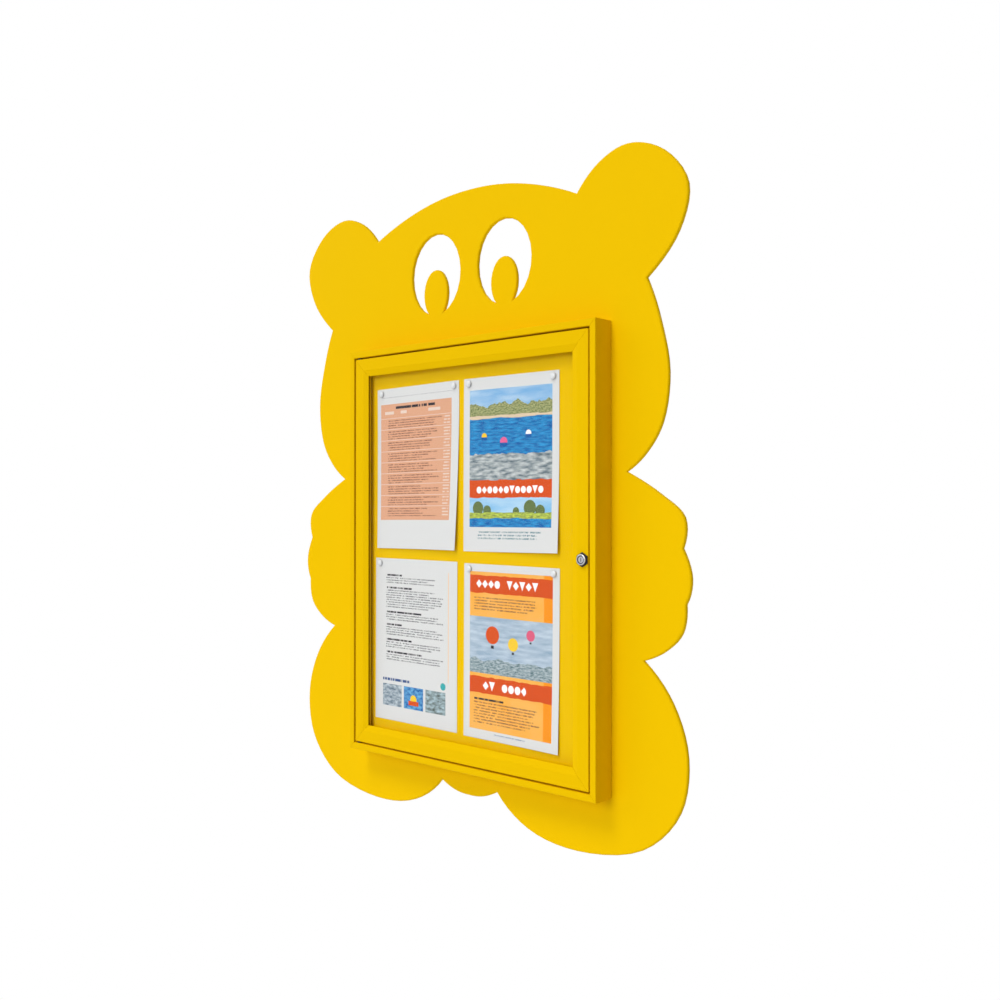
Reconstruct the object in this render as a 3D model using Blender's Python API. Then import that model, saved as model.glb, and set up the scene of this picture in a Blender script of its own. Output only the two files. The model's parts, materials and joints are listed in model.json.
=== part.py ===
"""Outdoor display case on an animal-shaped wall plate.

X points right, Y into the wall and Z up. The origin lies on the back face of the plate,
on the plate's line of symmetry and at the middle of the case's height. Sizes are in metres.
A depth is a distance in front of the plate's front face, towards the viewer.
"""

import math

import bmesh
import bpy
from mathutils import Matrix, Vector

# Mounting plate
PLATE_THICKNESS = 0.006
PLATE_EDGE_ROUND = 0.0028
PLATE_ROUND_STEPS = 2
ROUND_PROFILE = 0.5
LOBE_STEPS = 5
WALL_HOLE_RADIUS = 0.0045
WALL_HOLE_X = 0.190
WALL_HOLE_Z = 0.250

# Right half of the plate's outline, lobe by lobe from the crown down to the tail.
# A lobe is one smooth curve through its points, and the lobes meet in sharp notches.
OUTLINE_LOBES = (
    ((0.0, 0.640), (0.082, 0.634), (0.163, 0.615), (0.238, 0.586)),
    (
        (0.238, 0.586),
        (0.283, 0.628),
        (0.338, 0.645),
        (0.403, 0.621),
        (0.4455, 0.562),
        (0.4295, 0.4945),
        (0.3725, 0.4315),
    ),
    (
        (0.3725, 0.4315),
        (0.3965, 0.3655),
        (0.412, 0.285),
        (0.4005, 0.210),
        (0.3725, 0.166),
        (0.335, 0.136),
    ),
    ((0.335, 0.136), (0.397, 0.101), (0.4385, 0.066), (0.4355, 0.020)),
    ((0.4355, 0.020), (0.4505, -0.025), (0.441, -0.0635)),
    ((0.441, -0.0635), (0.4345, -0.1065), (0.4055, -0.1355), (0.366, -0.1535)),
    (
        (0.366, -0.1535),
        (0.418, -0.2135),
        (0.4435, -0.290),
        (0.430, -0.3745),
        (0.3635, -0.4425),
        (0.238, -0.470),
        (0.1355, -0.455),
        (0.066, -0.406),
    ),
    ((0.066, -0.406), (0.034, -0.4195), (0.0, -0.423)),
)

# Eyes: an oval cut through the plate, in which an oval pupil is left standing
EYE_X = 0.082
EYE_Z = 0.501
EYE_HALF_WIDTH = 0.061
EYE_HALF_HEIGHT = 0.0733
PUPIL_Z = 0.466
PUPIL_HALF_WIDTH = 0.030
PUPIL_HALF_HEIGHT = 0.044
EYE_STEPS = 22
BISECTIONS = 40

# Sheets of paper, two across and two down, and the room to spare round them in the door's opening
SHEET_WIDTH = 0.210
SHEET_HEIGHT = 0.297
SHEET_THICKNESS = 0.0004
ROOM_ACROSS = 0.060
ROOM_UP = 0.056

# Case frame
CASE_DEPTH = 0.042
CASE_SHIFT = 0.0195
RIM_WIDTH = 0.0115
EXTRUSION_WALL = 0.002
REAR_FLANGE_WIDTH = 0.022
EDGE_CHAMFER = 0.0008
CASE_CLEAT_ARM = 0.045
DRAIN_SLOT_LENGTH = 0.024
DRAIN_SLOT_WIDTH = 0.004
DRAIN_SLOT_X = 0.150
DRAIN_SLOT_DEPTH = 0.008

# Door
DOOR_GAP = 0.003
DOOR_RECESS = 0.0012
DOOR_THICKNESS = 0.0138
DOOR_PROFILE_WIDTH = 0.033
BEVEL_WIDTH = 0.0115
BEVEL_DROP = 0.003
LIP_THICKNESS = 0.0012
DOOR_CLEAT_ARM = 0.050
GLASS_THICKNESS = 0.004
GLASS_COVER = 0.010
GLASS_SIDE_PLAY = 0.0005
GASKET_WIDTH = 0.006
GASKET_THICKNESS = 0.0012
BEAD_SETBACK = 0.0025
BEAD_CHAMFER = 0.001
BEAD_TONGUE_DEPTH = 0.0012
BEAD_TONGUE_HEIGHT = 0.0009
BEAD_TONGUE_RISE = 0.0014

# Display panel and seal
PANEL_GAP = 0.003
PANEL_THICKNESS = 0.0012
PANEL_BORDER = 0.017
LEDGE_SETBACK = 0.006
SEAL_WIDTH = 0.0045
PANEL_SCREW_EDGE = 0.0032
PANEL_SCREW_Z = 0.200

# Hinge
PIVOT_INSET = 0.007
PIVOT_SETBACK = 0.006
PIN_RADIUS = 0.002
PIN_IN_DOOR = 0.009
PIN_IN_FRAME = 0.0065
BUSH_WALL = 0.0008
BUSH_LENGTH = 0.0105
BUSH_FLANGE = 0.0018
HOLE_END_PLAY = 0.001

# Cam lock
LOCK_Z = 0.0
BEZEL_RADIUS = 0.0087
BEZEL_HEIGHT = 0.0026
COLLAR_FLATS = 0.020
COLLAR_HEIGHT = 0.0026
BARREL_RADIUS = 0.007
BARREL_BEHIND_LEDGE = 0.0003
PLUG_RADIUS = 0.0050
KEY_SLOT_LENGTH = 0.0062
KEY_SLOT_WIDTH = 0.0013
KEY_SLOT_DEPTH = 0.008
NUT_FLATS = 0.020
NUT_HEIGHT = 0.0035
CAM_HUB_RADIUS = 0.0065
CAM_TIP_RADIUS = 0.0045
CAM_REACH = 0.018
CAM_THICKNESS = 0.0025
CAM_SQUARE = 0.006
CAM_SCREW_HEAD_RADIUS = 0.0042
CAM_SCREW_HEAD_HEIGHT = 0.0022
CAM_SCREW_RADIUS = 0.0018
CAM_SCREW_LENGTH = 0.006
NOTCH_PLAY = 0.0012

# Screws
SCREW_EASE = 0.0004
SOCKET_SHARE = 0.8
SOCKET_DEPTH_SHARE = 0.55
CASE_SCREW_RADIUS = 0.0025
CASE_SCREW_HEAD_RADIUS = 0.0046
CASE_SCREW_BEYOND_FLANGE = 0.003
CASE_SCREW_X = 0.180
PANEL_SCREW_RADIUS = 0.0015
PANEL_SCREW_HEAD_RADIUS = 0.0025
PANEL_SCREW_HEAD_HEIGHT = 0.0016
PANEL_SCREW_BEYOND_LEDGE = 0.0015

# Sheets' places: margins from the sides and from the top or bottom of the opening, tilt in degrees
SHEETS = {
    "top_left": (0.0137, 0.0245, 0.7),
    "top_right": (0.0365, 0.0235, -0.3),
    "bottom_left": (0.0075, 0.0145, -0.2),
    "bottom_right": (0.0360, 0.0120, -0.4),
}
MAGNET_RADIUS = 0.006
MAGNET_RIM = 0.0012
MAGNET_HEIGHT = 0.0042
MAGNET_DOME_STEPS = 5
MAGNET_EDGE_X = 0.012
MAGNET_EDGE_Z = 0.009
MAGNETS = (
    ("top_left", -1),
    ("top_left", 1),
    ("top_right", -1),
    ("top_right", 1),
    ("bottom_left", -1),
    ("bottom_right", -1),
    ("bottom_right", 1),
)

# Clearances: between pieces that touch, at each end of a mitred member, and past a cut's ends
SEAT = 0.0003
MITRE_PLAY = 0.00022
CUT_MARGIN = 0.001

# Numbers of sides on round pieces
ROUND_SIDES = 32
SMALL_SIDES = 16
SCREW_SIDES = 12
HOLE_SIDES = 16

# Depths that follow from the sizes above, from the plate's front face forwards
DOOR_FRONT = CASE_DEPTH - DOOR_RECESS
DOOR_BACK = DOOR_FRONT - DOOR_THICKNESS
LIP_BACK = DOOR_FRONT - BEVEL_DROP - LIP_THICKNESS
GASKET_FRONT = LIP_BACK - SEAT
GLASS_FRONT = GASKET_FRONT - GASKET_THICKNESS - SEAT
GLASS_BACK = GLASS_FRONT - GLASS_THICKNESS
PANEL_FRONT = DOOR_BACK - PANEL_GAP
PANEL_BACK = PANEL_FRONT - PANEL_THICKNESS
LEDGE_FRONT = PANEL_BACK - SEAT
LEDGE_BACK = LEDGE_FRONT - EXTRUSION_WALL
FLANGE_FRONT = SEAT + EXTRUSION_WALL
BEZEL_BACK = DOOR_FRONT + SEAT + COLLAR_HEIGHT + SEAT
BEZEL_FRONT = BEZEL_BACK + BEZEL_HEIGHT
BARREL_END = LEDGE_BACK - BARREL_BEHIND_LEDGE
CAM_FRONT = BARREL_END - SEAT
CAM_BACK = CAM_FRONT - CAM_THICKNESS
PIVOT_DEPTH = DOOR_FRONT - PIVOT_SETBACK
COUNTERSINK = CASE_SCREW_HEAD_RADIUS + SCREW_EASE - CASE_SCREW_RADIUS + SEAT * math.sqrt(2)

# Half widths and half heights that follow, from the centre of the case. The opening in the door
# takes the sheets, and the case round it comes to 575 by 745 mm.
SIGHT_HALF = (SHEET_WIDTH + ROOM_ACROSS / 2, SHEET_HEIGHT + ROOM_UP / 2)
DOOR_HALF = tuple(half + DOOR_PROFILE_WIDTH for half in SIGHT_HALF)
RIM_HALF = tuple(half + DOOR_GAP for half in DOOR_HALF)
CASE_HALF = tuple(half + RIM_WIDTH for half in RIM_HALF)
GLASS_HALF = tuple(half + GLASS_COVER for half in SIGHT_HALF)
PANEL_HALF = tuple(half + PANEL_BORDER for half in SIGHT_HALF)
LEDGE_HALF = tuple(half + LEDGE_SETBACK for half in SIGHT_HALF)
SEAL_HALF = tuple(half + SEAL_WIDTH for half in LEDGE_HALF)

LEDGE_INSET = CASE_HALF[0] - LEDGE_HALF[0]
REBATE_INSET = DOOR_PROFILE_WIDTH - GLASS_COVER - GLASS_SIDE_PLAY
DOOR_FLAT = DOOR_PROFILE_WIDTH - BEVEL_WIDTH
LOCK_X = DOOR_HALF[0] - DOOR_FLAT / 2
PIVOT_X = PIVOT_INSET - DOOR_HALF[0]
BUSH_RADIUS = PIN_RADIUS + SEAT + BUSH_WALL

SIDE_TURNS = {"bottom": 0.0, "right": -90.0, "top": 180.0, "left": 90.0}
CORNERS = {
    "top_left": (-1, 1),
    "top_right": (1, 1),
    "bottom_left": (-1, -1),
    "bottom_right": (1, -1),
}


def clear_scene():
    for scene_object in list(bpy.data.objects):
        bpy.data.objects.remove(scene_object, do_unlink=True)


def make_material(name, colour, roughness, metallic=0.0, transmission=0.0):
    material = bpy.data.materials.new(name)
    material.use_nodes = True
    shader = material.node_tree.nodes["Principled BSDF"]
    shader.inputs["Base Color"].default_value = (*colour, 1.0)
    shader.inputs["Roughness"].default_value = roughness
    shader.inputs["Metallic"].default_value = metallic
    shader.inputs["Transmission Weight"].default_value = transmission
    return material


def make_empty(name, parent, location):
    empty = bpy.data.objects.new(name, None)
    empty.parent = parent
    empty.location = location
    bpy.context.collection.objects.link(empty)
    return empty


def add_piece(name, mesh, material, parent, location=(0, 0, 0), turn=(0, 0, 0)):
    """Turn a finished bmesh into a named object under its parent. Turns are in degrees."""
    bmesh.ops.recalc_face_normals(mesh, faces=mesh.faces[:])
    data = bpy.data.meshes.new(name)
    mesh.to_mesh(data)
    mesh.free()
    if material:
        data.materials.append(material)
        data.shade_smooth()
        data.set_sharp_from_angle(angle=math.radians(35))
    piece = bpy.data.objects.new(name, data)
    piece.parent = parent
    piece.location = location
    piece.rotation_euler = [math.radians(angle) for angle in turn]
    bpy.context.collection.objects.link(piece)
    return piece


def combine(piece, mesh, operation, parent, location, turn):
    """Apply a bmesh to a piece with an exact Boolean that stays live."""
    name = f"{operation.lower()}_{len(piece.modifiers)}"
    helper = add_piece(f"{piece.name}_{name}", mesh, None, parent, location, turn)
    helper.hide_render = True
    helper.display_type = "WIRE"
    boolean = piece.modifiers.new(name, "BOOLEAN")
    boolean.operation = operation
    boolean.solver = "EXACT"
    boolean.object = helper


def cut(piece, mesh, parent, location=(0, 0, 0), turn=(0, 0, 0)):
    combine(piece, mesh, "DIFFERENCE", parent, location, turn)


def join(piece, mesh, parent, location=(0, 0, 0), turn=(0, 0, 0)):
    combine(piece, mesh, "UNION", parent, location, turn)


def extruded(loops, back, front):
    """A solid between two depths. The first loop of (x, z) points is its outline, the rest are holes."""
    mesh = bmesh.new()
    edges = []
    for loop in loops:
        corners = [mesh.verts.new((x, -back, z)) for x, z in loop]
        edges += [mesh.edges.new(pair) for pair in zip(corners, corners[1:] + corners[:1])]
    bmesh.ops.triangle_fill(mesh, use_beauty=True, edges=edges)
    grown = bmesh.ops.extrude_face_region(mesh, geom=mesh.faces[:])
    moved = [item for item in grown["geom"] if isinstance(item, bmesh.types.BMVert)]
    bmesh.ops.translate(mesh, vec=(0, back - front, 0), verts=moved)
    return mesh


def turned(profile, sides):
    """A round solid about Z from its (radius, height) profile, which starts and ends on the axis
    or closes on itself."""
    mesh = bmesh.new()
    corners = [mesh.verts.new((radius, 0, height)) for radius, height in profile]
    edges = [mesh.edges.new(pair) for pair in zip(corners, corners[1:])]
    if profile[0][0] > 0:
        edges.append(mesh.edges.new((corners[-1], corners[0])))
    bmesh.ops.spin(
        mesh,
        geom=corners + edges,
        axis=(0, 0, 1),
        cent=(0, 0, 0),
        angle=math.tau,
        steps=sides,
        use_merge=True,
    )
    bmesh.ops.remove_doubles(mesh, verts=mesh.verts[:], dist=1e-6)
    return mesh


def box(low, high):
    """A plain block from its lowest and highest corners."""
    mesh = bmesh.new()
    centre = (Vector(low) + Vector(high)) / 2
    size = Vector(high) - Vector(low)
    bmesh.ops.create_cube(mesh, size=1.0, matrix=Matrix.Translation(centre) @ Matrix.Diagonal((*size, 1)))
    return mesh


def rectangle(half):
    return [(-half[0], -half[1]), (half[0], -half[1]), (half[0], half[1]), (-half[0], half[1])]


def circle(radius, sides, phase=0.0, centre=(0.0, 0.0)):
    """Points round a circle. The phase is a share of one side."""
    x, z = centre
    angles = [math.tau * (step + phase) / sides for step in range(sides)]
    return [(x + radius * math.cos(angle), z + radius * math.sin(angle)) for angle in angles]


def hexagon(flats):
    """A hexagon with two flats upright, from its size across flats."""
    return circle(flats / 2 / math.cos(math.pi / 6), 6, 0.5)


def smooth_curve(points, steps):
    """A centripetal Catmull-Rom curve through the points, from the first up to but not at the last."""
    path = [Vector(point) for point in points]
    before = path[2] + 3 * (path[0] - path[1])
    after = path[-3] + 3 * (path[-1] - path[-2])
    path = [before, *path, after]
    curve = []
    for p0, p1, p2, p3 in zip(path, path[1:], path[2:], path[3:]):
        t01, t12, t23 = (math.sqrt((b - a).length) for a, b in ((p0, p1), (p1, p2), (p2, p3)))
        leave = p2 - p1 + t12 * ((p1 - p0) / t01 - (p2 - p0) / (t01 + t12))
        arrive = p2 - p1 + t12 * ((p3 - p2) / t23 - (p3 - p1) / (t12 + t23))
        for step in range(steps):
            t = step / steps
            cubic = (2 * (p1 - p2) + leave + arrive) * t**3
            square = (3 * (p2 - p1) - 2 * leave - arrive) * t**2
            curve.append(cubic + square + leave * t + p1)
    return curve


def plate_outline():
    """The closed outline: the right half from the crown to the tail, then its mirror image back up."""
    right = []
    for lobe in OUTLINE_LOBES:
        right += smooth_curve(lobe, LOBE_STEPS)
    tail = Vector(OUTLINE_LOBES[-1][-1])
    left = [Vector((-point.x, point.y)) for point in reversed(right[1:])]
    return [tuple(point) for point in [*right, tail, *left]]


def eye_opening(side):
    """The crescent between the eye's oval and the pupil's, for the right (1) or the left (-1) eye."""

    def eye_point(angle):
        return EYE_HALF_WIDTH * math.cos(angle), EYE_Z + EYE_HALF_HEIGHT * math.sin(angle)

    def pupil_place(x, z):
        return x / PUPIL_HALF_WIDTH, (z - PUPIL_Z) / PUPIL_HALF_HEIGHT

    low, high = -math.pi / 2, 0.0
    for _ in range(BISECTIONS):
        middle = (low + high) / 2
        if math.hypot(*pupil_place(*eye_point(middle))) < 1:
            low = middle
        else:
            high = middle
    across, up = pupil_place(*eye_point(high))
    pupil_angle = math.atan2(up, across)
    loop = []
    for step in range(EYE_STEPS + 1):
        loop.append(eye_point(high + (math.pi - 2 * high) * step / EYE_STEPS))
    for step in range(1, EYE_STEPS):
        angle = math.pi - pupil_angle - (math.pi - 2 * pupil_angle) * step / EYE_STEPS
        loop.append((PUPIL_HALF_WIDTH * math.cos(angle), PUPIL_Z + PUPIL_HALF_HEIGHT * math.sin(angle)))
    return [(side * (EYE_X + x), z) for x, z in loop]


def case_screw_points():
    """Two on the flange along the top, two along the bottom and one on each side."""
    inset = (REAR_FLANGE_WIDTH + EXTRUSION_WALL) / 2
    across = CASE_HALF[0] - inset
    up = CASE_HALF[1] - inset
    ends = [(sign_x * CASE_SCREW_X, sign_z * up) for sign_z in (1, -1) for sign_x in (-1, 1)]
    return [*ends, (-across, 0.0), (across, 0.0)]


def panel_screw_points():
    """Two on each side of the panel, clear of the lock, and one at the middle of top and bottom."""
    across = PANEL_HALF[0] - PANEL_SCREW_EDGE
    up = PANEL_HALF[1] - PANEL_SCREW_EDGE
    sides = [(sign_x * across, sign_z * PANEL_SCREW_Z) for sign_x in (-1, 1) for sign_z in (1, -1)]
    return [*sides, (0.0, up), (0.0, -up)]


def screw_profile(head_radius, head_back, head_front, radius, tip):
    """A low cylinder head with a round socket, on a plain shank that ends at the tip."""
    socket_floor = head_front - (head_front - head_back) * SOCKET_DEPTH_SHARE
    socket = radius * SOCKET_SHARE
    return [
        (0, tip),
        (radius, tip),
        (radius, head_back),
        (head_radius, head_back),
        (head_radius, head_front - SCREW_EASE),
        (head_radius - SCREW_EASE, head_front),
        (socket, head_front),
        (socket, socket_floor),
        (0, socket_floor),
    ]


def countersunk_profile():
    """The case screw, from its head flush with the plate's back to its tip past the rear flange."""
    head_back = SEAT - PLATE_THICKNESS
    neck = head_back + SCREW_EASE + CASE_SCREW_HEAD_RADIUS - CASE_SCREW_RADIUS
    tip = FLANGE_FRONT + CASE_SCREW_BEYOND_FLANGE
    return [
        (0, head_back),
        (CASE_SCREW_HEAD_RADIUS, head_back),
        (CASE_SCREW_HEAD_RADIUS, head_back + SCREW_EASE),
        (CASE_SCREW_RADIUS, neck),
        (CASE_SCREW_RADIUS, tip),
        (0, tip),
    ]


def case_section():
    """Case extrusion as (inset from the case's outside, depth): a hollow rim, the ledge that carries
    the panel, the outer skirt and the flange against the plate."""
    outline = [
        (0, SEAT),
        (0, CASE_DEPTH - EDGE_CHAMFER),
        (EDGE_CHAMFER, CASE_DEPTH),
        (RIM_WIDTH - EDGE_CHAMFER, CASE_DEPTH),
        (RIM_WIDTH, CASE_DEPTH - EDGE_CHAMFER),
        (RIM_WIDTH, LEDGE_FRONT),
        (LEDGE_INSET, LEDGE_FRONT),
        (LEDGE_INSET, LEDGE_BACK),
        (EXTRUSION_WALL, LEDGE_BACK),
        (EXTRUSION_WALL, FLANGE_FRONT),
        (REAR_FLANGE_WIDTH, FLANGE_FRONT),
        (REAR_FLANGE_WIDTH, SEAT),
    ]
    return outline, chamber(RIM_WIDTH - EXTRUSION_WALL, LEDGE_FRONT, CASE_DEPTH - EXTRUSION_WALL)


def chamber(far_inset, back, front):
    """The hollow of an extrusion, one wall in from its outside."""
    return [(EXTRUSION_WALL, back), (EXTRUSION_WALL, front), (far_inset, front), (far_inset, back)]


def door_section():
    """Door extrusion: a hollow frame with a flat face, a sloped bevel that ends in the glazing lip,
    and a rebate with the groove that the glazing bead snaps into."""
    groove_back = DOOR_BACK + BEAD_TONGUE_RISE - SEAT
    groove_front = DOOR_BACK + BEAD_TONGUE_RISE + BEAD_TONGUE_HEIGHT + SEAT
    groove_floor = REBATE_INSET - BEAD_TONGUE_DEPTH
    outline = [
        (0, DOOR_BACK),
        (0, DOOR_FRONT - EDGE_CHAMFER),
        (EDGE_CHAMFER, DOOR_FRONT),
        (DOOR_FLAT, DOOR_FRONT),
        (DOOR_PROFILE_WIDTH, DOOR_FRONT - BEVEL_DROP),
        (DOOR_PROFILE_WIDTH, LIP_BACK),
        (REBATE_INSET, LIP_BACK),
        (REBATE_INSET, groove_front),
        (groove_floor, groove_front),
        (groove_floor, groove_back),
        (REBATE_INSET, groove_back),
        (REBATE_INSET, DOOR_BACK),
    ]
    hollow = chamber(
        REBATE_INSET - EXTRUSION_WALL, DOOR_BACK + EXTRUSION_WALL, DOOR_FRONT - EXTRUSION_WALL
    )
    return outline, hollow


def bead_section():
    """Glazing bead, seen from the door's outside: its tongue, its face to the pane, its free edge."""
    near = REBATE_INSET + SEAT
    far = DOOR_PROFILE_WIDTH - BEAD_SETBACK
    tongue_end = REBATE_INSET - BEAD_TONGUE_DEPTH + SEAT
    tongue_back = DOOR_BACK + BEAD_TONGUE_RISE
    tongue_front = tongue_back + BEAD_TONGUE_HEIGHT
    return [
        (near, DOOR_BACK),
        (near, tongue_back),
        (tongue_end, tongue_back),
        (tongue_end, tongue_front),
        (near, tongue_front),
        (near, GLASS_BACK - SEAT),
        (far, GLASS_BACK - SEAT),
        (far, DOOR_BACK + BEAD_CHAMFER),
        (far - BEAD_CHAMFER, DOOR_BACK),
    ]


def mitred_member(loops, half_length, half_across):
    """One side of a mitred rectangle, laid along X below the centre. A point's inset shortens the
    member at both ends, which makes the mitres, and the mitre play parts them."""
    mesh = bmesh.new()
    edges = []
    for loop in loops:
        corners = []
        for inset, depth in loop:
            end = half_length - inset - MITRE_PLAY
            corners.append(mesh.verts.new((-end, -depth, inset - half_across)))
        edges += [mesh.edges.new(pair) for pair in zip(corners, corners[1:] + corners[:1])]
    bmesh.ops.triangle_fill(mesh, use_beauty=True, edges=edges)
    grown = bmesh.ops.extrude_face_region(mesh, geom=mesh.faces[:])
    for item in grown["geom"]:
        if isinstance(item, bmesh.types.BMVert):
            item.co.x = -item.co.x
    return mesh


def add_mitred_frame(names, loops, half, material, parent, location=(0, 0, 0)):
    """The four members of a rectangle, one object for each side."""
    members = {}
    for side, angle in SIDE_TURNS.items():
        upright = side in ("left", "right")
        half_length, half_across = (half[1], half[0]) if upright else half
        mesh = mitred_member(loops, half_length, half_across)
        members[side] = add_piece(names[side], mesh, material, parent, location, (0, angle, 0))
    return members


def corner_cleat(hollow, arm, corner, half):
    """An L-shaped block that fills the hollows of two members where they meet."""
    insets = [inset for inset, _ in hollow]
    depths = [depth for _, depth in hollow]
    near, far = min(insets) + SEAT, max(insets) - SEAT
    bend = [(near, near), (arm, near), (arm, far), (far, far), (far, arm), (near, arm)]
    loop = [(corner[0] * (half[0] - u), corner[1] * (half[1] - v)) for u, v in bend]
    return extruded([loop], min(depths) + SEAT, max(depths) - SEAT)


def bore(radius, start, end, sides=HOLE_SIDES):
    """A plain round shape about Z from one height to another."""
    return turned([(0, start), (radius, start), (radius, end), (0, end)], sides)


def plate_holes(points, radius):
    """Round holes through the plate, from points placed about the case's centre."""
    return [circle(radius, HOLE_SIDES, centre=(CASE_SHIFT + x, z)) for x, z in points]


def round_over(mesh, edges, offset, steps):
    """Round edges over in some steps, or chamfer them in one."""
    bmesh.ops.bevel(
        mesh,
        geom=edges,
        offset=offset,
        segments=steps,
        profile=ROUND_PROFILE,
        affect="EDGES",
        material=-1,
    )


def build_mounting_plate(material):
    """The plate with its eyes, its rounded front edge, and its wall holes and countersunk holes."""
    wall_points = [(x, z) for x in (-WALL_HOLE_X, WALL_HOLE_X) for z in (-WALL_HOLE_Z, WALL_HOLE_Z)]
    screw_holes = plate_holes(case_screw_points(), CASE_SCREW_RADIUS + SEAT)
    shapes = [plate_outline(), eye_opening(1), eye_opening(-1)]
    holes = [*plate_holes(wall_points, WALL_HOLE_RADIUS), *screw_holes]
    mesh = extruded([*shapes, *holes], 0.0, PLATE_THICKNESS)
    mesh.normal_update()
    shape_points = {key(point) for shape in shapes for point in shape}
    screw_points = {key(point) for hole in screw_holes for point in hole}
    front = -PLATE_THICKNESS
    round_over(mesh, loop_edges(mesh, shape_points, front), PLATE_EDGE_ROUND, PLATE_ROUND_STEPS)
    round_over(mesh, loop_edges(mesh, screw_points, 0.0), COUNTERSINK, 1)
    add_piece("mounting_plate", mesh, material, None)


def key(point):
    """An (x, z) point rounded to a hundredth of a millimetre, so that points can be compared."""
    return round(point[0] * 1e5), round(point[1] * 1e5)


def loop_edges(mesh, points, y):
    """The edges at depth -y that run round the walls standing on some of the points."""
    found = []
    for edge in mesh.edges:
        at_depth = all(math.isclose(vert.co.y, y, abs_tol=PLATE_THICKNESS / 4) for vert in edge.verts)
        on_shape = all(key((vert.co.x, vert.co.z)) in points for vert in edge.verts)
        by_wall = len({abs(face.normal.y) > 0.5 for face in edge.link_faces}) == 2
        if at_depth and on_shape and by_wall:
            found.append(edge)
    return found


def build_case(materials, case):
    """The case frame with its cleats, drain slots and screw holes, and the lock's way through it."""
    outline, hollow = case_section()
    names = {side: f"case_frame_{side}" for side in SIDE_TURNS}
    members = add_mitred_frame(names, [outline, hollow], CASE_HALF, materials["coat"], case)
    for x in (-DRAIN_SLOT_X, DRAIN_SLOT_X):
        floor = -CASE_HALF[1] - CUT_MARGIN
        roof = -CASE_HALF[1] + EXTRUSION_WALL + CUT_MARGIN
        low = (x - DRAIN_SLOT_LENGTH / 2, -DRAIN_SLOT_DEPTH - DRAIN_SLOT_WIDTH, floor)
        high = (x + DRAIN_SLOT_LENGTH / 2, -DRAIN_SLOT_DEPTH, roof)
        cut(members["bottom"], box(low, high), case)
    for name, corner in CORNERS.items():
        mesh = corner_cleat(hollow, CASE_CLEAT_ARM, corner, CASE_HALF)
        cleat = add_piece(f"case_cleat_{name}", mesh, materials["casting"], case)
        if corner[0] < 0:
            side = "top" if corner[1] > 0 else "bottom"
            start = RIM_HALF[1] - CUT_MARGIN
            end = RIM_HALF[1] + PIN_IN_FRAME + HOLE_END_PLAY
            for piece in (cleat, members[side]):
                turn = (0, 0, 0) if corner[1] > 0 else (180, 0, 0)
                cutter = bore(PIN_RADIUS + SEAT, start, end)
                cut(piece, cutter, case, (PIVOT_X, -PIVOT_DEPTH, 0), turn)
    for number, (x, z) in enumerate(case_screw_points(), 1):
        mesh = turned(countersunk_profile(), SCREW_SIDES)
        add_piece(f"case_screw_{number}", mesh, materials["steel"], case, (x, 0, z), (90, 0, 0))
        member = members[nearest_side(x, z)]
        cutter = bore(CASE_SCREW_RADIUS + SEAT, 0.0, FLANGE_FRONT + SEAT)
        cut(member, cutter, case, (x, 0, z), (90, 0, 0))
    cut(members["right"], lock_notch(), case)
    return members


def nearest_side(x, z):
    """The side of the frame that a fixing point lies on."""
    if CASE_HALF[0] - abs(x) < CASE_HALF[1] - abs(z):
        return "right" if x > 0 else "left"
    return "top" if z > 0 else "bottom"


def lock_notch():
    """The way through ledge and panel for the lock's nut and for its hanging cam."""
    half_width = NUT_FLATS / 2 + NOTCH_PLAY
    top = LOCK_Z + NUT_FLATS / 2 / math.cos(math.pi / 6) + NOTCH_PLAY
    bottom = LOCK_Z - CAM_REACH - CAM_TIP_RADIUS - NOTCH_PLAY
    low = (LOCK_X - half_width, -PANEL_FRONT - CUT_MARGIN, bottom)
    high = (LOCK_X + half_width, -LEDGE_BACK + CUT_MARGIN, top)
    return box(low, high)


def build_panel(materials, case, members):
    """The display panel on the ledge, its screws, and the seal that the closed door rests on."""
    mesh = extruded([rectangle(PANEL_HALF)], PANEL_BACK, PANEL_FRONT)
    panel = add_piece("display_panel", mesh, materials["panel"], case)
    cut(panel, lock_notch(), case)
    head_back = PANEL_FRONT + SEAT
    head_front = head_back + PANEL_SCREW_HEAD_HEIGHT
    tip = LEDGE_BACK - PANEL_SCREW_BEYOND_LEDGE
    profile = screw_profile(PANEL_SCREW_HEAD_RADIUS, head_back, head_front, PANEL_SCREW_RADIUS, tip)
    for number, (x, z) in enumerate(panel_screw_points(), 1):
        mesh = turned(profile, SCREW_SIDES)
        add_piece(f"panel_screw_{number}", mesh, materials["steel"], case, (x, 0, z), (90, 0, 0))
        for piece in (panel, members[nearest_side(x, z)]):
            cutter = bore(PANEL_SCREW_RADIUS + SEAT, LEDGE_BACK - CUT_MARGIN, PANEL_FRONT + CUT_MARGIN)
            cut(piece, cutter, case, (x, 0, z), (90, 0, 0))
    mesh = extruded([rectangle(SEAL_HALF), rectangle(LEDGE_HALF)], PANEL_FRONT + SEAT, DOOR_BACK - SEAT)
    add_piece("door_seal", mesh, materials["rubber"], case)


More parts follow.
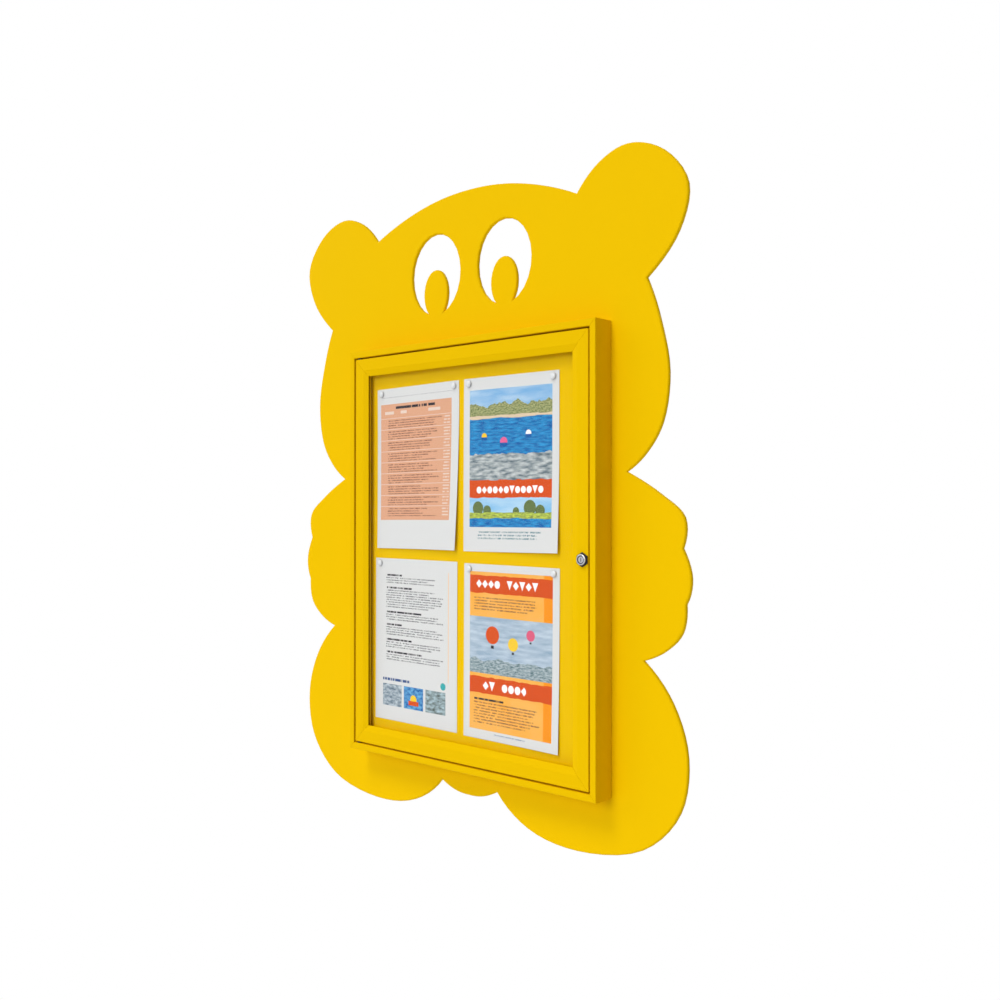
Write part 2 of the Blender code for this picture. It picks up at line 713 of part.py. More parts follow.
def build_door(materials, door, offset):
    """The glazed door: frame, cleats, gasket, pane and beads."""
    outline, hollow = door_section()
    names = {
        "top": "door_rail_top",
        "bottom": "door_rail_bottom",
        "left": "door_stile_left",
        "right": "door_stile_right",
    }
    members = add_mitred_frame(names, [outline, hollow], DOOR_HALF, materials["coat"], door, offset)
    for name, corner in CORNERS.items():
        mesh = corner_cleat(hollow, DOOR_CLEAT_ARM, corner, DOOR_HALF)
        cleat = add_piece(f"door_cleat_{name}", mesh, materials["casting"], door, offset)
        if corner[0] < 0:
            rail = members["top" if corner[1] > 0 else "bottom"]
            turn = (0, 0, 0) if corner[1] > 0 else (180, 0, 0)
            for piece in (cleat, rail):
                start = DOOR_HALF[1] - BUSH_LENGTH - HOLE_END_PLAY
                cutter = bore(BUSH_RADIUS + SEAT, start, DOOR_HALF[1] + CUT_MARGIN)
                cut(piece, cutter, door, (0, 0, 0), turn)
    gasket_inner = tuple(half - GASKET_WIDTH for half in GLASS_HALF)
    mesh = extruded([rectangle(GLASS_HALF), rectangle(gasket_inner)], GLASS_FRONT + SEAT, GASKET_FRONT)
    add_piece("glazing_gasket", mesh, materials["rubber"], door, offset)
    mesh = extruded([rectangle(GLASS_HALF)], GLASS_BACK, GLASS_FRONT)
    add_piece("door_glass", mesh, materials["glass"], door, offset)
    names = {side: f"glazing_bead_{side}" for side in SIDE_TURNS}
    add_mitred_frame(names, [bead_section()], DOOR_HALF, materials["coat"], door, offset)
    return members


def build_hinge(materials, case, door):
    """Two hidden pins, fixed in the case frame, in flanged bushes that are fixed in the door."""
    pin_low = DOOR_HALF[1] - PIN_IN_DOOR
    pin_high = RIM_HALF[1] + PIN_IN_FRAME
    pin = [
        (0, pin_low),
        (PIN_RADIUS - SCREW_EASE, pin_low),
        (PIN_RADIUS, pin_low + SCREW_EASE),
        (PIN_RADIUS, pin_high),
        (0, pin_high),
    ]
    bush_low = DOOR_HALF[1] - BUSH_LENGTH
    flange_low = DOOR_HALF[1] + SEAT
    flange_high = RIM_HALF[1] - SEAT
    bush = [
        (PIN_RADIUS + SEAT, bush_low),
        (BUSH_RADIUS, bush_low),
        (BUSH_RADIUS, flange_low),
        (BUSH_RADIUS + BUSH_FLANGE, flange_low),
        (BUSH_RADIUS + BUSH_FLANGE, flange_high),
        (PIN_RADIUS + SEAT, flange_high),
    ]
    for name, angle in (("top", 0), ("bottom", 180)):
        turn = (angle, 0, 0)
        mesh = turned(pin, SMALL_SIDES)
        place = (PIVOT_X, -PIVOT_DEPTH, 0)
        add_piece(f"hinge_pin_{name}", mesh, materials["steel"], case, place, turn)
        mesh = turned(bush, SMALL_SIDES)
        add_piece(f"hinge_bush_{name}", mesh, materials["nylon"], door, (0, 0, 0), turn)


def build_lock(materials, door, lock, lock_place, door_members):
    """The cam lock: body, hexagonal collar and nut on the door, plug and cam on the lock's axis."""
    hole = BARREL_RADIUS + SEAT
    cutter = bore(hole, DOOR_BACK - CUT_MARGIN, DOOR_FRONT + CUT_MARGIN, ROUND_SIDES)
    cut(door_members["right"], cutter, door, lock_place, (90, 0, 0))
    ease = EDGE_CHAMFER
    plug_hole = PLUG_RADIUS + SEAT
    body = [
        (plug_hole, BARREL_END),
        (BARREL_RADIUS, BARREL_END),
        (BARREL_RADIUS, BEZEL_BACK),
        (BEZEL_RADIUS, BEZEL_BACK),
        (BEZEL_RADIUS, BEZEL_FRONT - ease),
        (BEZEL_RADIUS - ease, BEZEL_FRONT),
        (plug_hole + ease, BEZEL_FRONT),
        (plug_hole, BEZEL_FRONT - ease),
    ]
    add_piece("lock_body", turned(body, ROUND_SIDES), materials["chrome"], door, lock_place, (90, 0, 0))
    ring = circle(hole, ROUND_SIDES)
    collar = extruded([hexagon(COLLAR_FLATS), ring], BEZEL_BACK - SEAT - COLLAR_HEIGHT, BEZEL_BACK - SEAT)
    add_piece("lock_collar", collar, materials["dark_metal"], door, lock_place)
    nut = extruded([hexagon(NUT_FLATS), ring], DOOR_BACK - SEAT - NUT_HEIGHT, DOOR_BACK - SEAT)
    add_piece("lock_nut", nut, materials["steel"], door, lock_place)
    build_plug(materials, lock)
    build_cam(materials, lock)


def build_plug(materials, lock):
    """The key plug: a round barrel that ends in the square that drives the cam."""
    front = BEZEL_FRONT - EDGE_CHAMFER
    mesh = bore(PLUG_RADIUS, BARREL_END, front, ROUND_SIDES)
    plug = add_piece("key_plug", mesh, materials["chrome"], lock, (0, 0, 0), (90, 0, 0))
    half = CAM_SQUARE / 2
    square = extruded([rectangle((half, half))], CAM_BACK + SEAT, BARREL_END + half)
    join(plug, square, lock)
    hole_end = CAM_BACK + CAM_SCREW_LENGTH + HOLE_END_PLAY
    cutter = bore(CAM_SCREW_RADIUS + SEAT, CAM_BACK - CUT_MARGIN, hole_end)
    cut(plug, cutter, lock, (0, 0, 0), (90, 0, 0))
    low = (-KEY_SLOT_WIDTH / 2, -front - CUT_MARGIN, -KEY_SLOT_LENGTH / 2)
    high = (KEY_SLOT_WIDTH / 2, -front + KEY_SLOT_DEPTH, KEY_SLOT_LENGTH / 2)
    cut(plug, box(low, high), lock)


def build_cam(materials, lock):
    """The cam hangs straight down when unlocked: a hub and a smaller tip joined by their tangents.
    The screw in the plug's end holds it on its square."""
    lean = math.asin((CAM_HUB_RADIUS - CAM_TIP_RADIUS) / CAM_REACH)
    loop = []
    for step in range(SMALL_SIDES + 1):
        angle = -lean + (math.pi + 2 * lean) * step / SMALL_SIDES
        loop.append((CAM_HUB_RADIUS * math.cos(angle), CAM_HUB_RADIUS * math.sin(angle)))
    for step in range(SMALL_SIDES + 1):
        angle = math.pi + lean + (math.pi - 2 * lean) * step / SMALL_SIDES
        x = CAM_TIP_RADIUS * math.cos(angle)
        loop.append((x, -CAM_REACH + CAM_TIP_RADIUS * math.sin(angle)))
    half = CAM_SQUARE / 2 + SEAT
    cam = extruded([loop, rectangle((half, half))], CAM_BACK, CAM_FRONT)
    add_piece("lock_cam", cam, materials["steel"], lock)
    head_front = CAM_BACK - SEAT
    head_back = head_front - CAM_SCREW_HEAD_HEIGHT
    screw = screw_profile(
        CAM_SCREW_HEAD_RADIUS,
        -head_front,
        -head_back,
        CAM_SCREW_RADIUS,
        -head_front - CAM_SCREW_LENGTH,
    )
    add_piece("cam_screw", turned(screw, SMALL_SIDES), materials["steel"], lock, (0, 0, 0), (-90, 0, 0))


def sheet_centre(name):
    """The centre of a sheet, from its margins."""
    across, up, _ = SHEETS[name]
    side, level = CORNERS[name]
    x = side * (SIGHT_HALF[0] - across - SHEET_WIDTH / 2)
    z = level * (SIGHT_HALF[1] - up - SHEET_HEIGHT / 2)
    return x, z


def build_sheets(materials, case):
    """Four sheets of paper on the panel, each slightly askew."""
    back = PANEL_FRONT + SEAT
    half = (SHEET_WIDTH / 2, SHEET_HEIGHT / 2)
    for name, (_, _, tilt) in SHEETS.items():
        mesh = extruded([rectangle(half)], back, back + SHEET_THICKNESS)
        x, z = sheet_centre(name)
        add_piece(f"sheet_{name}", mesh, materials["paper"], case, (x, 0, z), (0, -tilt, 0))


def build_magnets(materials, case):
    """Round magnets with domed caps near the top corners of the sheets."""
    base = PANEL_FRONT + SEAT + SHEET_THICKNESS + SEAT
    profile = [(0, base), (MAGNET_RADIUS, base)]
    for step in range(MAGNET_DOME_STEPS):
        angle = math.pi / 2 * step / MAGNET_DOME_STEPS
        rise = MAGNET_RIM + (MAGNET_HEIGHT - MAGNET_RIM) * math.sin(angle)
        profile.append((MAGNET_RADIUS * math.cos(angle), base + rise))
    profile.append((0, base + MAGNET_HEIGHT))
    for number, (name, side) in enumerate(MAGNETS, 1):
        x, z = sheet_centre(name)
        across = side * (SHEET_WIDTH / 2 - MAGNET_EDGE_X)
        up = SHEET_HEIGHT / 2 - MAGNET_EDGE_Z
        angle = math.radians(SHEETS[name][2])
        place_x = x + across * math.cos(angle) - up * math.sin(angle)
        place_z = z + across * math.sin(angle) + up * math.cos(angle)
        mesh = turned(profile, SMALL_SIDES)
        add_piece(f"magnet_{number}", mesh, materials["magnet"], case, (place_x, 0, place_z), (90, 0, 0))


def make_materials():
    return {
        "coat": make_material("yellow_powder_coat", (0.88, 0.55, 0.0), 0.42),
        "panel": make_material("yellow_panel_coat", (0.88, 0.55, 0.0), 0.5),
        "casting": make_material("cast_cleat", (0.55, 0.56, 0.57), 0.45, 1.0),
        "steel": make_material("zinc_plated_steel", (0.62, 0.63, 0.64), 0.3, 1.0),
        "chrome": make_material("lock_chrome", (0.8, 0.8, 0.82), 0.15, 1.0),
        "dark_metal": make_material("dark_nickel", (0.05, 0.05, 0.06), 0.3, 1.0),
        "rubber": make_material("black_rubber", (0.02, 0.02, 0.02), 0.8),
        "nylon": make_material("black_nylon", (0.03, 0.03, 0.03), 0.6),
        "glass": make_material("clear_glass", (1.0, 1.0, 1.0), 0.02, 0.0, 1.0),
        "paper": make_material("white_paper", (0.9, 0.9, 0.9), 0.8),
        "magnet": make_material("white_magnet_cap", (0.85, 0.86, 0.88), 0.3),
    }


def main():
    clear_scene()
    materials = make_materials()
    case = make_empty("case_centre", None, (CASE_SHIFT, -PLATE_THICKNESS, 0))
    pivot = Vector((PIVOT_X, -PIVOT_DEPTH, 0))
    door = make_empty("door_axis", case, pivot)
    lock = make_empty("lock_axis", door, Vector((LOCK_X, 0, LOCK_Z)) - pivot)
    build_mounting_plate(materials["coat"])
    case_members = build_case(materials, case)
    build_panel(materials, case, case_members)
    door_members = build_door(materials, door, -pivot)
    build_hinge(materials, case, door)
    build_lock(materials, door, lock, Vector((LOCK_X, 0, LOCK_Z)) - pivot, door_members)
    build_sheets(materials, case)
    build_magnets(materials, case)


main()
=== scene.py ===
"""Looks of the outdoor display case: finishes, printed sheets, magnets, light and camera."""

import json
import math

import bmesh
import bpy
from mathutils import Matrix, Vector


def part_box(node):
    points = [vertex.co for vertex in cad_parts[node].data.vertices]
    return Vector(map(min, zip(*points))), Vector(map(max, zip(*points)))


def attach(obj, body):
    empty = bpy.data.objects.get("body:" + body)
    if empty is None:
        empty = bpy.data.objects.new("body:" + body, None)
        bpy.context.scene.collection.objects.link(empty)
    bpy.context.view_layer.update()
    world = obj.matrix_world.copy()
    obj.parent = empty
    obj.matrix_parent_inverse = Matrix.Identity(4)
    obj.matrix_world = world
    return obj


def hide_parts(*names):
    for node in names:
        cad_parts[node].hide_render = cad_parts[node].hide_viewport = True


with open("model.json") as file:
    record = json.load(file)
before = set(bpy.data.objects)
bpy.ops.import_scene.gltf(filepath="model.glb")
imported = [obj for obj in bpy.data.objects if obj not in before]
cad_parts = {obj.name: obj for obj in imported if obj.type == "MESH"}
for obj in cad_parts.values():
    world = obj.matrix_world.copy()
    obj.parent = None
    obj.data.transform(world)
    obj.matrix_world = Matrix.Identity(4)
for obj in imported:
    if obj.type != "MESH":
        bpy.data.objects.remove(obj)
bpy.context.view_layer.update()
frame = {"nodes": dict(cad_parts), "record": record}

SIDES = ("top", "bottom", "left", "right")
DOOR_MEMBERS = ("door_rail_top", "door_rail_bottom", "door_stile_left", "door_stile_right")
MAGNET_COUNT = 7

# Colours of the finishes, linear
YELLOW = (0.888, 0.552, 0.0)
# The frame's yellow is the plate's yellow made about 5 per cent darker: painted shade, for the frame's
# darker look under the same light.
SHADED_FRAME_YELLOW = (0.846, 0.526, 0.0)
CAST_METAL = (0.55, 0.56, 0.57)
ZINC = (0.62, 0.63, 0.64)
CHROME = (0.50, 0.51, 0.55)
# The lock's dished face is coloured this dark: painted shade in the dish.
CHROME_DISH_SHADE = (0.10, 0.105, 0.125)
DARK_NICKEL = (0.02, 0.023, 0.04)
BLACK_RUBBER = (0.022, 0.022, 0.022)
BLACK_NYLON = (0.03, 0.03, 0.03)
MAGNET_CAP = (0.80, 0.82, 0.84)
# A magnet's back half takes this darker grey: painted shade that deepens the shaded crescent round its
# side.
MAGNET_SIDE_SHADE = (0.48, 0.49, 0.52)
CLEAR = (0.985, 0.99, 0.987)
PALE_FLOOR = (0.82, 0.82, 0.82)
WHITE = (1.0, 1.0, 1.0)

# Colours of the paper and the inks
PAPER = (0.755, 0.76, 0.757)
INK = (0.035, 0.033, 0.04)
GREY_INK = (0.12, 0.12, 0.13)
FAINT_INK = (0.38, 0.38, 0.40)
NAVY_INK = (0.05, 0.10, 0.26)
SLATE_INK = (0.16, 0.24, 0.40)
SEA_INK = (0.13, 0.26, 0.30)
BROWN = (0.26, 0.10, 0.06)
SALMON = (0.76, 0.40, 0.25)
PALE_LABEL = (0.84, 0.66, 0.56)
RED_ORANGE = (0.70, 0.085, 0.012)
STRONG_ORANGE = (0.96, 0.31, 0.012)
WARM_ORANGE = (0.97, 0.44, 0.06)
LIGHT_ORANGE = (0.97, 0.50, 0.12)
SOFT_ORANGE = (0.93, 0.60, 0.30)
SUN_YELLOW = (0.95, 0.62, 0.04)
CRIMSON = (0.75, 0.12, 0.22)
PINK = (0.80, 0.14, 0.32)
TEAL = (0.05, 0.40, 0.42)
LAKE_BLUE = (0.012, 0.11, 0.38)
BRIGHT_BLUE = (0.035, 0.34, 0.68)
SAND = (0.76, 0.60, 0.42)

# Pairs of colours that a part of a picture wanders between
CLEAR_SKY = ((0.16, 0.42, 0.75), (0.52, 0.70, 0.88))
LOW_SKY = ((0.24, 0.54, 0.84), (0.52, 0.74, 0.92))
EVENING_SKY = ((0.30, 0.42, 0.55), (0.56, 0.66, 0.76))
FAR_HILLS = ((0.10, 0.15, 0.05), (0.52, 0.52, 0.24))
BLUE_HILLS = ((0.10, 0.18, 0.20), (0.50, 0.58, 0.62))
ROCKS = ((0.12, 0.17, 0.20), (0.62, 0.66, 0.66))
TREES = ((0.03, 0.08, 0.03), (0.24, 0.30, 0.10))
MEADOW = ((0.20, 0.26, 0.07), (0.62, 0.74, 0.10))
WATER = (LAKE_BLUE, BRIGHT_BLUE)
SLATES = ((0.10, 0.16, 0.22), (0.56, 0.64, 0.70))
DEEP_WATER = (LAKE_BLUE, (0.16, 0.46, 0.76))
SEAWEED = ((0.10, 0.13, 0.12), (0.46, 0.60, 0.66))

# Powder coat
COAT_CLOUD_SCALE = 7.0
COAT_ROUGHNESS = 0.42
COAT_ROUGHNESS_SPREAD = 0.12
COAT_RELIEF = 0.0002
COAT_SPECULAR = 0.02

# Metals, plastics, paper and glass
SKIN_RELIEF = 0.0001
METAL_ROUGHNESS_SPREAD = 0.2
METAL_BUMP = 0.15
PLASTIC_ROUGHNESS_SPREAD = 0.12
PLASTIC_BUMP = 0.2
PLASTIC_SHADE = 0.88
PAPER_ROUGHNESS = 0.75
PAPER_SPECULAR = 0.2
PAPER_SHADE = 0.965
PAPER_BUMP = 0.1
FIBRE_SCALE = 0.35
GLASS_IOR = 1.1

# Lines of print: words and strokes in one pitch, rows of strokes in a line, and the shares left out
WORDS_IN_PITCH = 3.1
STROKES_IN_PITCH = 9.3
STROKE_ROWS = 3.0
WORDS_LEFT_OUT = 0.17
STROKES_LEFT_OUT = 0.36
# A heading: its pitch as a multiple of its height, and the share of the pitch that its bars fill
HEADING_PITCH = 1.05
HEADING_WEIGHT = 0.9

# Rows of shapes, as shares of the row's height, and the chances from which each shape is drawn
SHAPE_PITCH = 0.92
DISC_REACH = 0.44
DIAMOND_REACH = 0.47
PENNANT_REACH = 0.46
DISCS_FROM = 0.14
DIAMONDS_FROM = 0.42
PENNANTS_FROM = 0.7

# How steeply the mottled colours of the pictures change from one to the other
MOTTLE_CONTRAST = 3.0

# Camera, solved from the case's corners in the photograph
CAMERA_PLACE = (1.279, -1.3612, 0.0824)
CAMERA_PITCH = 0.0077
CAMERA_YAW = 0.7267
CAMERA_LENS = 38.24
CAMERA_SHIFT = -0.0018

# Light
AMBIENT = 0.22
# Soft lamps far away: the direction towards the lamp, its angular size in degrees and its strength
LAMPS = (
    ("side_lamp", (-0.775, -0.426, 0.465), 40, 0.5),
    ("high_lamp", (-0.1, -0.55, 0.83), 22, 1.2),
    ("front_lamp", (-0.05, -0.95, 0.3), 26, 1.05),
    ("back_fill", (-0.3, 1.0, 0.4), 60, 1.9),
)
FLOOR_Z = -1.4
FLOOR_SIZE = 14.0
FLOOR_ROUGHNESS = 0.9

# Sheets of paper
PAPER_THICKNESS = 0.00022
SHEET_SIZE = (0.210, 0.297)
SHEET_GRID = (28, 40)
RIPPLE = 0.0002

# Edges and faces
MERGE_DISTANCE = 1e-5
FLAT_ANGLE = math.radians(0.5)
FOLD_ANGLE = math.radians(12)
SMOOTH_ANGLE = math.radians(38)
LONG_EDGE = 0.2
MEMBER_ROUND = 0.0005
FLAT_FACE_WEIGHT = 100

# Round pieces
SPIN_STEPS = 48
SPIN_MERGE_DISTANCE = 1e-6

# Lock, turned about the line through its middle
LOCK_BEZEL_HEIGHT = 0.0026
LOCK_BARREL_RADIUS = 0.007
LOCK_PLUG_HOLE = 0.0053
LOCK_RIM_ROUND = 0.0013
LOCK_RIM_STEPS = 6
LOCK_DISH_RADIUS = 0.0067
LOCK_DISH_DEPTH = 0.0005
LOCK_DISH_MARGIN = 0.0002
LOCK_RING_SCALE = 9000.0
LOCK_RING_BUMP = 0.2
LOCK_RING_RELIEF = 0.00005
LOCK_ROUGHNESS = 0.12
LOCK_ROUGHNESS_SPREAD = 0.14
COLLAR_ROUND = 0.0006
COLLAR_EDGES_FROM = LOCK_BARREL_RADIUS * 1.3

# Magnets, as shares of the whole height
# The share of a magnet's height, from its back, that is coloured darker as painted shade
MAGNET_SHADE_SHARE = 0.5
MAGNET_FOOT_SHARE = 0.18
# As shares of the radius
MAGNET_BACK_RADIUS = 0.9
MAGNET_FOOT_RADIUS = 0.94
# As multiples of the foot's height
MAGNET_RIM_LEVEL = 1.15
MAGNET_DOME_LEVEL = 1.6
# The dome's points, and the powers that its rise and its reach follow
MAGNET_DOME_STEPS = 9
MAGNET_DOME_RISE = 0.9
MAGNET_DOME_FULLNESS = 0.75


# Node helpers


def fill_inputs(tree, node, inputs):
    """Set a node's inputs, given by name or number, each to a value or to a socket that is linked."""
    for key, value in inputs.items():
        if isinstance(value, bpy.types.NodeSocket):
            tree.links.new(value, node.inputs[key])
        else:
            node.inputs[key].default_value = value


def place(tree, kind, inputs=None, **settings):
    """Add a shader node with its settings and inputs."""
    node = tree.nodes.new(f"ShaderNode{kind}")
    for key, value in settings.items():
        setattr(node, key, value)
    fill_inputs(tree, node, inputs or {})
    return node


def use_group(tree, group, inputs):
    node = tree.nodes.new("ShaderNodeGroup")
    node.node_tree = group
    fill_inputs(tree, node, inputs)
    return node


def calc(tree, operation, *values):
    return place(tree, "Math", dict(enumerate(values)), operation=operation).outputs[0]


def product(tree, first, *factors):
    for factor in factors:
        first = calc(tree, "MULTIPLY", first, factor)
    return first


def blend(tree, factor, below, above):
    """One colour laid over another. Plain colours are given as (r, g, b). The Mix node takes colours
    at its sockets 6 and 7 and gives the result at its socket 2."""
    colours = [c if isinstance(c, bpy.types.NodeSocket) else (*c, 1.0) for c in (below, above)]
    inputs = {0: factor, 6: colours[0], 7: colours[1]}
    return place(tree, "Mix", inputs, data_type="RGBA").outputs[2]


def shaded(colour, share):
    return tuple(channel * share for channel in colour)


def length_of(tree, vector):
    return place(tree, "VectorMath", {0: vector}, operation="LENGTH").outputs["Value"]


def object_place(tree):
    return tree.nodes.new("ShaderNodeTexCoord").outputs["Object"]


def noise(tree, where, scale, detail):
    return place(tree, "TexNoise", {"Vector": where, "Scale": scale, "Detail": detail}).outputs[0]


def noise_along(tree, distance, scale, detail):
    inputs = {"W": distance, "Scale": scale, "Detail": detail}
    return place(tree, "TexNoise", inputs, noise_dimensions="1D").outputs[0]


def chance(tree, *cell):
    """A fixed random number from 0 to 1 for a cell, which is numbered along one to three axes."""
    if len(cell) == 1:
        inputs = {"W": cell[0]}
    else:
        inputs = {"Vector": place(tree, "CombineXYZ", dict(enumerate(cell))).outputs[0]}
    return place(tree, "TexWhiteNoise", inputs, noise_dimensions=f"{len(cell)}D").outputs[0]


def new_group(name, inputs, outputs):
    """A shader node group with its named sockets. Returns the tree and its two end nodes."""
    tree = bpy.data.node_groups.new(name, "ShaderNodeTree")
    for socket_name, kind, value in inputs:
        socket = tree.interface.new_socket(socket_name, in_out="INPUT", socket_type=f"NodeSocket{kind}")
        if value is not None:
            socket.default_value = value
    for socket_name, kind in outputs:
        tree.interface.new_socket(socket_name, in_out="OUTPUT", socket_type=f"NodeSocket{kind}")
    return tree, tree.nodes.new("NodeGroupInput"), tree.nodes.new("NodeGroupOutput")


def new_mask_group(name, **numbers):
    """A group that makes a mask from a place on a sheet and some numbers, given with their defaults.
    Returns its tree, its inputs, the place across and up the sheet, and the socket for the mask."""
    inputs = [("Place", "Vector", None), *[(key, "Float", value) for key, value in numbers.items()]]
    tree, start, end = new_group(name, inputs, [("Mask", "Float")])
    split = place(tree, "SeparateXYZ", {0: start.outputs["Place"]}).outputs
    return tree, start.outputs, split[0], split[1], end.inputs["Mask"]


def new_material(name, **sockets):
    """A material with its Principled shader, whose sockets are given by name with _ for a space."""
    material = bpy.data.materials.new(name)
    material.use_nodes = True
    tree = material.node_tree
    shader = tree.nodes["Principled BSDF"]
    fill_inputs(tree, shader, {key.replace("_", " "): value for key, value in sockets.items()})
    return material, tree, shader


def add_relief(tree, shader, height, strength, depth):
    relief = place(tree, "Bump", {"Height": height, "Strength": strength, "Distance": depth})
    tree.links.new(relief.outputs[0], shader.inputs["Normal"])


# Effects that several materials share


def make_coat_group():
    """Powder coat: the fine orange peel of the sprayed surface and its faint cloudiness."""
    tree, start, end = new_group(
        "Powder coat",
        [("Colour", "Color", (*YELLOW, 1.0)), ("Peel", "Float", 700.0), ("Cloud", "Float", 0.03)],
        [("Colour", "Color"), ("Roughness", "Float"), ("Height", "Float")],
    )
    get = start.outputs
    where = object_place(tree)
    peel = noise(tree, where, get["Peel"], detail=2.0)
    cloud = noise(tree, where, COAT_CLOUD_SCALE, detail=4.0)
    shade = calc(tree, "MULTIPLY", calc(tree, "SUBTRACT", cloud, 0.5), get["Cloud"])
    bright = calc(tree, "ADD", 1.0, shade)
    colour = place(tree, "VectorMath", {0: get["Colour"], "Scale": bright}, operation="SCALE").outputs[0]
    rough = calc(tree, "ADD", COAT_ROUGHNESS, calc(tree, "MULTIPLY", cloud, COAT_ROUGHNESS_SPREAD))
    fill_inputs(tree, end, {"Colour": colour, "Roughness": rough, "Height": peel})
    return tree


def make_grain_group():
    """Fine grain of bare metal, plastic or rubber: an uneven roughness and the grain's height."""
    tree, start, end = new_group(
        "Fine grain",
        [("Scale", "Float", 400.0), ("Roughness", "Float", 0.4), ("Spread", "Float", 0.15)],
        [("Roughness", "Float"), ("Height", "Float")],
    )
    get = start.outputs
    grain = noise(tree, object_place(tree), get["Scale"], detail=3.0)
    rough = calc(tree, "MULTIPLY_ADD", grain, get["Spread"], get["Roughness"])
    fill_inputs(tree, end, {"Roughness": rough, "Height": grain})
    return tree


def make_paper_group():
    """Plain white paper: its faintly uneven colour and the height of its fibres."""
    tree, start, end = new_group(
        "Paper", [("Place", "Vector", None)], [("Colour", "Color"), ("Height", "Float")]
    )
    fibre = noise(tree, start.outputs["Place"], FIBRE_SCALE, detail=5.0)
    colour = blend(tree, fibre, shaded(PAPER, PAPER_SHADE), PAPER)
    fill_inputs(tree, end, {"Colour": colour, "Height": fibre})
    return tree


def make_mottle_group():
    """A colour that wanders between two, in patches that the stretch draws out across a sheet."""
    tree, start, end = new_group(
        "Mottled colour",
        [
            ("Place", "Vector", None),
            ("Scale", "Float", 0.3),
            ("Stretch", "Float", 1.0),
            ("First", "Color", (*PAPER, 1.0)),
            ("Second", "Color", (*WHITE, 1.0)),
        ],
        [("Colour", "Color")],
    )
    get = start.outputs
    squeeze = place(tree, "CombineXYZ", {0: calc(tree, "DIVIDE", 1.0, get["Stretch"]), 1: 1.0, 2: 1.0})
    where = place(tree, "Mapping", {"Vector": get["Place"], "Scale": squeeze.outputs[0]})
    patches = noise(tree, where.outputs[0], get["Scale"], detail=5.0)
    steep = calc(tree, "MULTIPLY_ADD", patches, MOTTLE_CONTRAST, (1.0 - MOTTLE_CONTRAST) / 2)
    share = place(tree, "Clamp", {0: steep}).outputs[0]
    fill_inputs(tree, end, {"Colour": blend(tree, share, get["First"], get["Second"])})
    return tree


def make_area_group():
    """Mask of a rectangle on a sheet. The place and the sides are in millimetres."""
    tree, get, across, up, result = new_mask_group("Printed area", Left=0.0, Right=0.0, Bottom=0.0, Top=0.0)
    tests = (
        ("GREATER_THAN", across, "Left"),
        ("LESS_THAN", across, "Right"),
        ("GREATER_THAN", up, "Bottom"),
        ("LESS_THAN", up, "Top"),
    )
    passed = [calc(tree, operation, value, get[side]) for operation, value, side in tests]
    tree.links.new(product(tree, *passed), result)
    return tree


def make_disc_group():
    """Mask of a disc on a sheet. Its middle and its radius are in millimetres."""
    tree, get, across, up, result = new_mask_group("Printed disc", X=0.0, Z=0.0, Radius=10.0)
    offset = {0: calc(tree, "SUBTRACT", across, get["X"]), 1: calc(tree, "SUBTRACT", up, get["Z"])}
    reach = length_of(tree, place(tree, "CombineXYZ", offset).outputs[0])
    tree.links.new(calc(tree, "LESS_THAN", reach, get["Radius"]), result)
    return tree


def make_print_group(area_group):
    """Mask of unreadable lines of print: rows of broken marks with gaps and ragged ends. Solid
    turns the broken marks into plain bars, as for a heading."""
    tree, get, across, up, result = new_mask_group(
        "Lines of print", Left=0.0, Right=100.0, Bottom=0.0, Top=100.0,
        Pitch=4.0, Weight=0.45, Ragged=0.3, Seed=0.0, Solid=0.0,
    )

    def step_of(value, steps):
        return calc(tree, "FLOOR", calc(tree, "MULTIPLY", value, steps))

    down = calc(tree, "DIVIDE", calc(tree, "SUBTRACT", get["Top"], up), get["Pitch"])
    depth = calc(tree, "DIVIDE", calc(tree, "FRACT", down), get["Weight"])
    inked = calc(tree, "LESS_THAN", depth, 1.0)
    row = calc(tree, "ADD", calc(tree, "FLOOR", down), get["Seed"])
    width = calc(tree, "SUBTRACT", get["Right"], get["Left"])
    cut = product(tree, chance(tree, row), get["Ragged"], width)
    column = calc(tree, "DIVIDE", across, get["Pitch"])
    word = calc(tree, "GREATER_THAN", chance(tree, step_of(column, WORDS_IN_PITCH), row), WORDS_LEFT_OUT)
    stroke_chance = chance(tree, step_of(column, STROKES_IN_PITCH), step_of(depth, STROKE_ROWS), row)
    stroke = calc(tree, "GREATER_THAN", stroke_chance, STROKES_LEFT_OUT)
    inside = use_group(tree, area_group, {
        "Place": get["Place"], "Left": get["Left"], "Right": calc(tree, "SUBTRACT", get["Right"], cut),
        "Bottom": get["Bottom"], "Top": get["Top"],
    }).outputs[0]
    mask = product(tree, inside, inked, word, calc(tree, "MAXIMUM", stroke, get["Solid"]))
    tree.links.new(mask, result)
    return tree


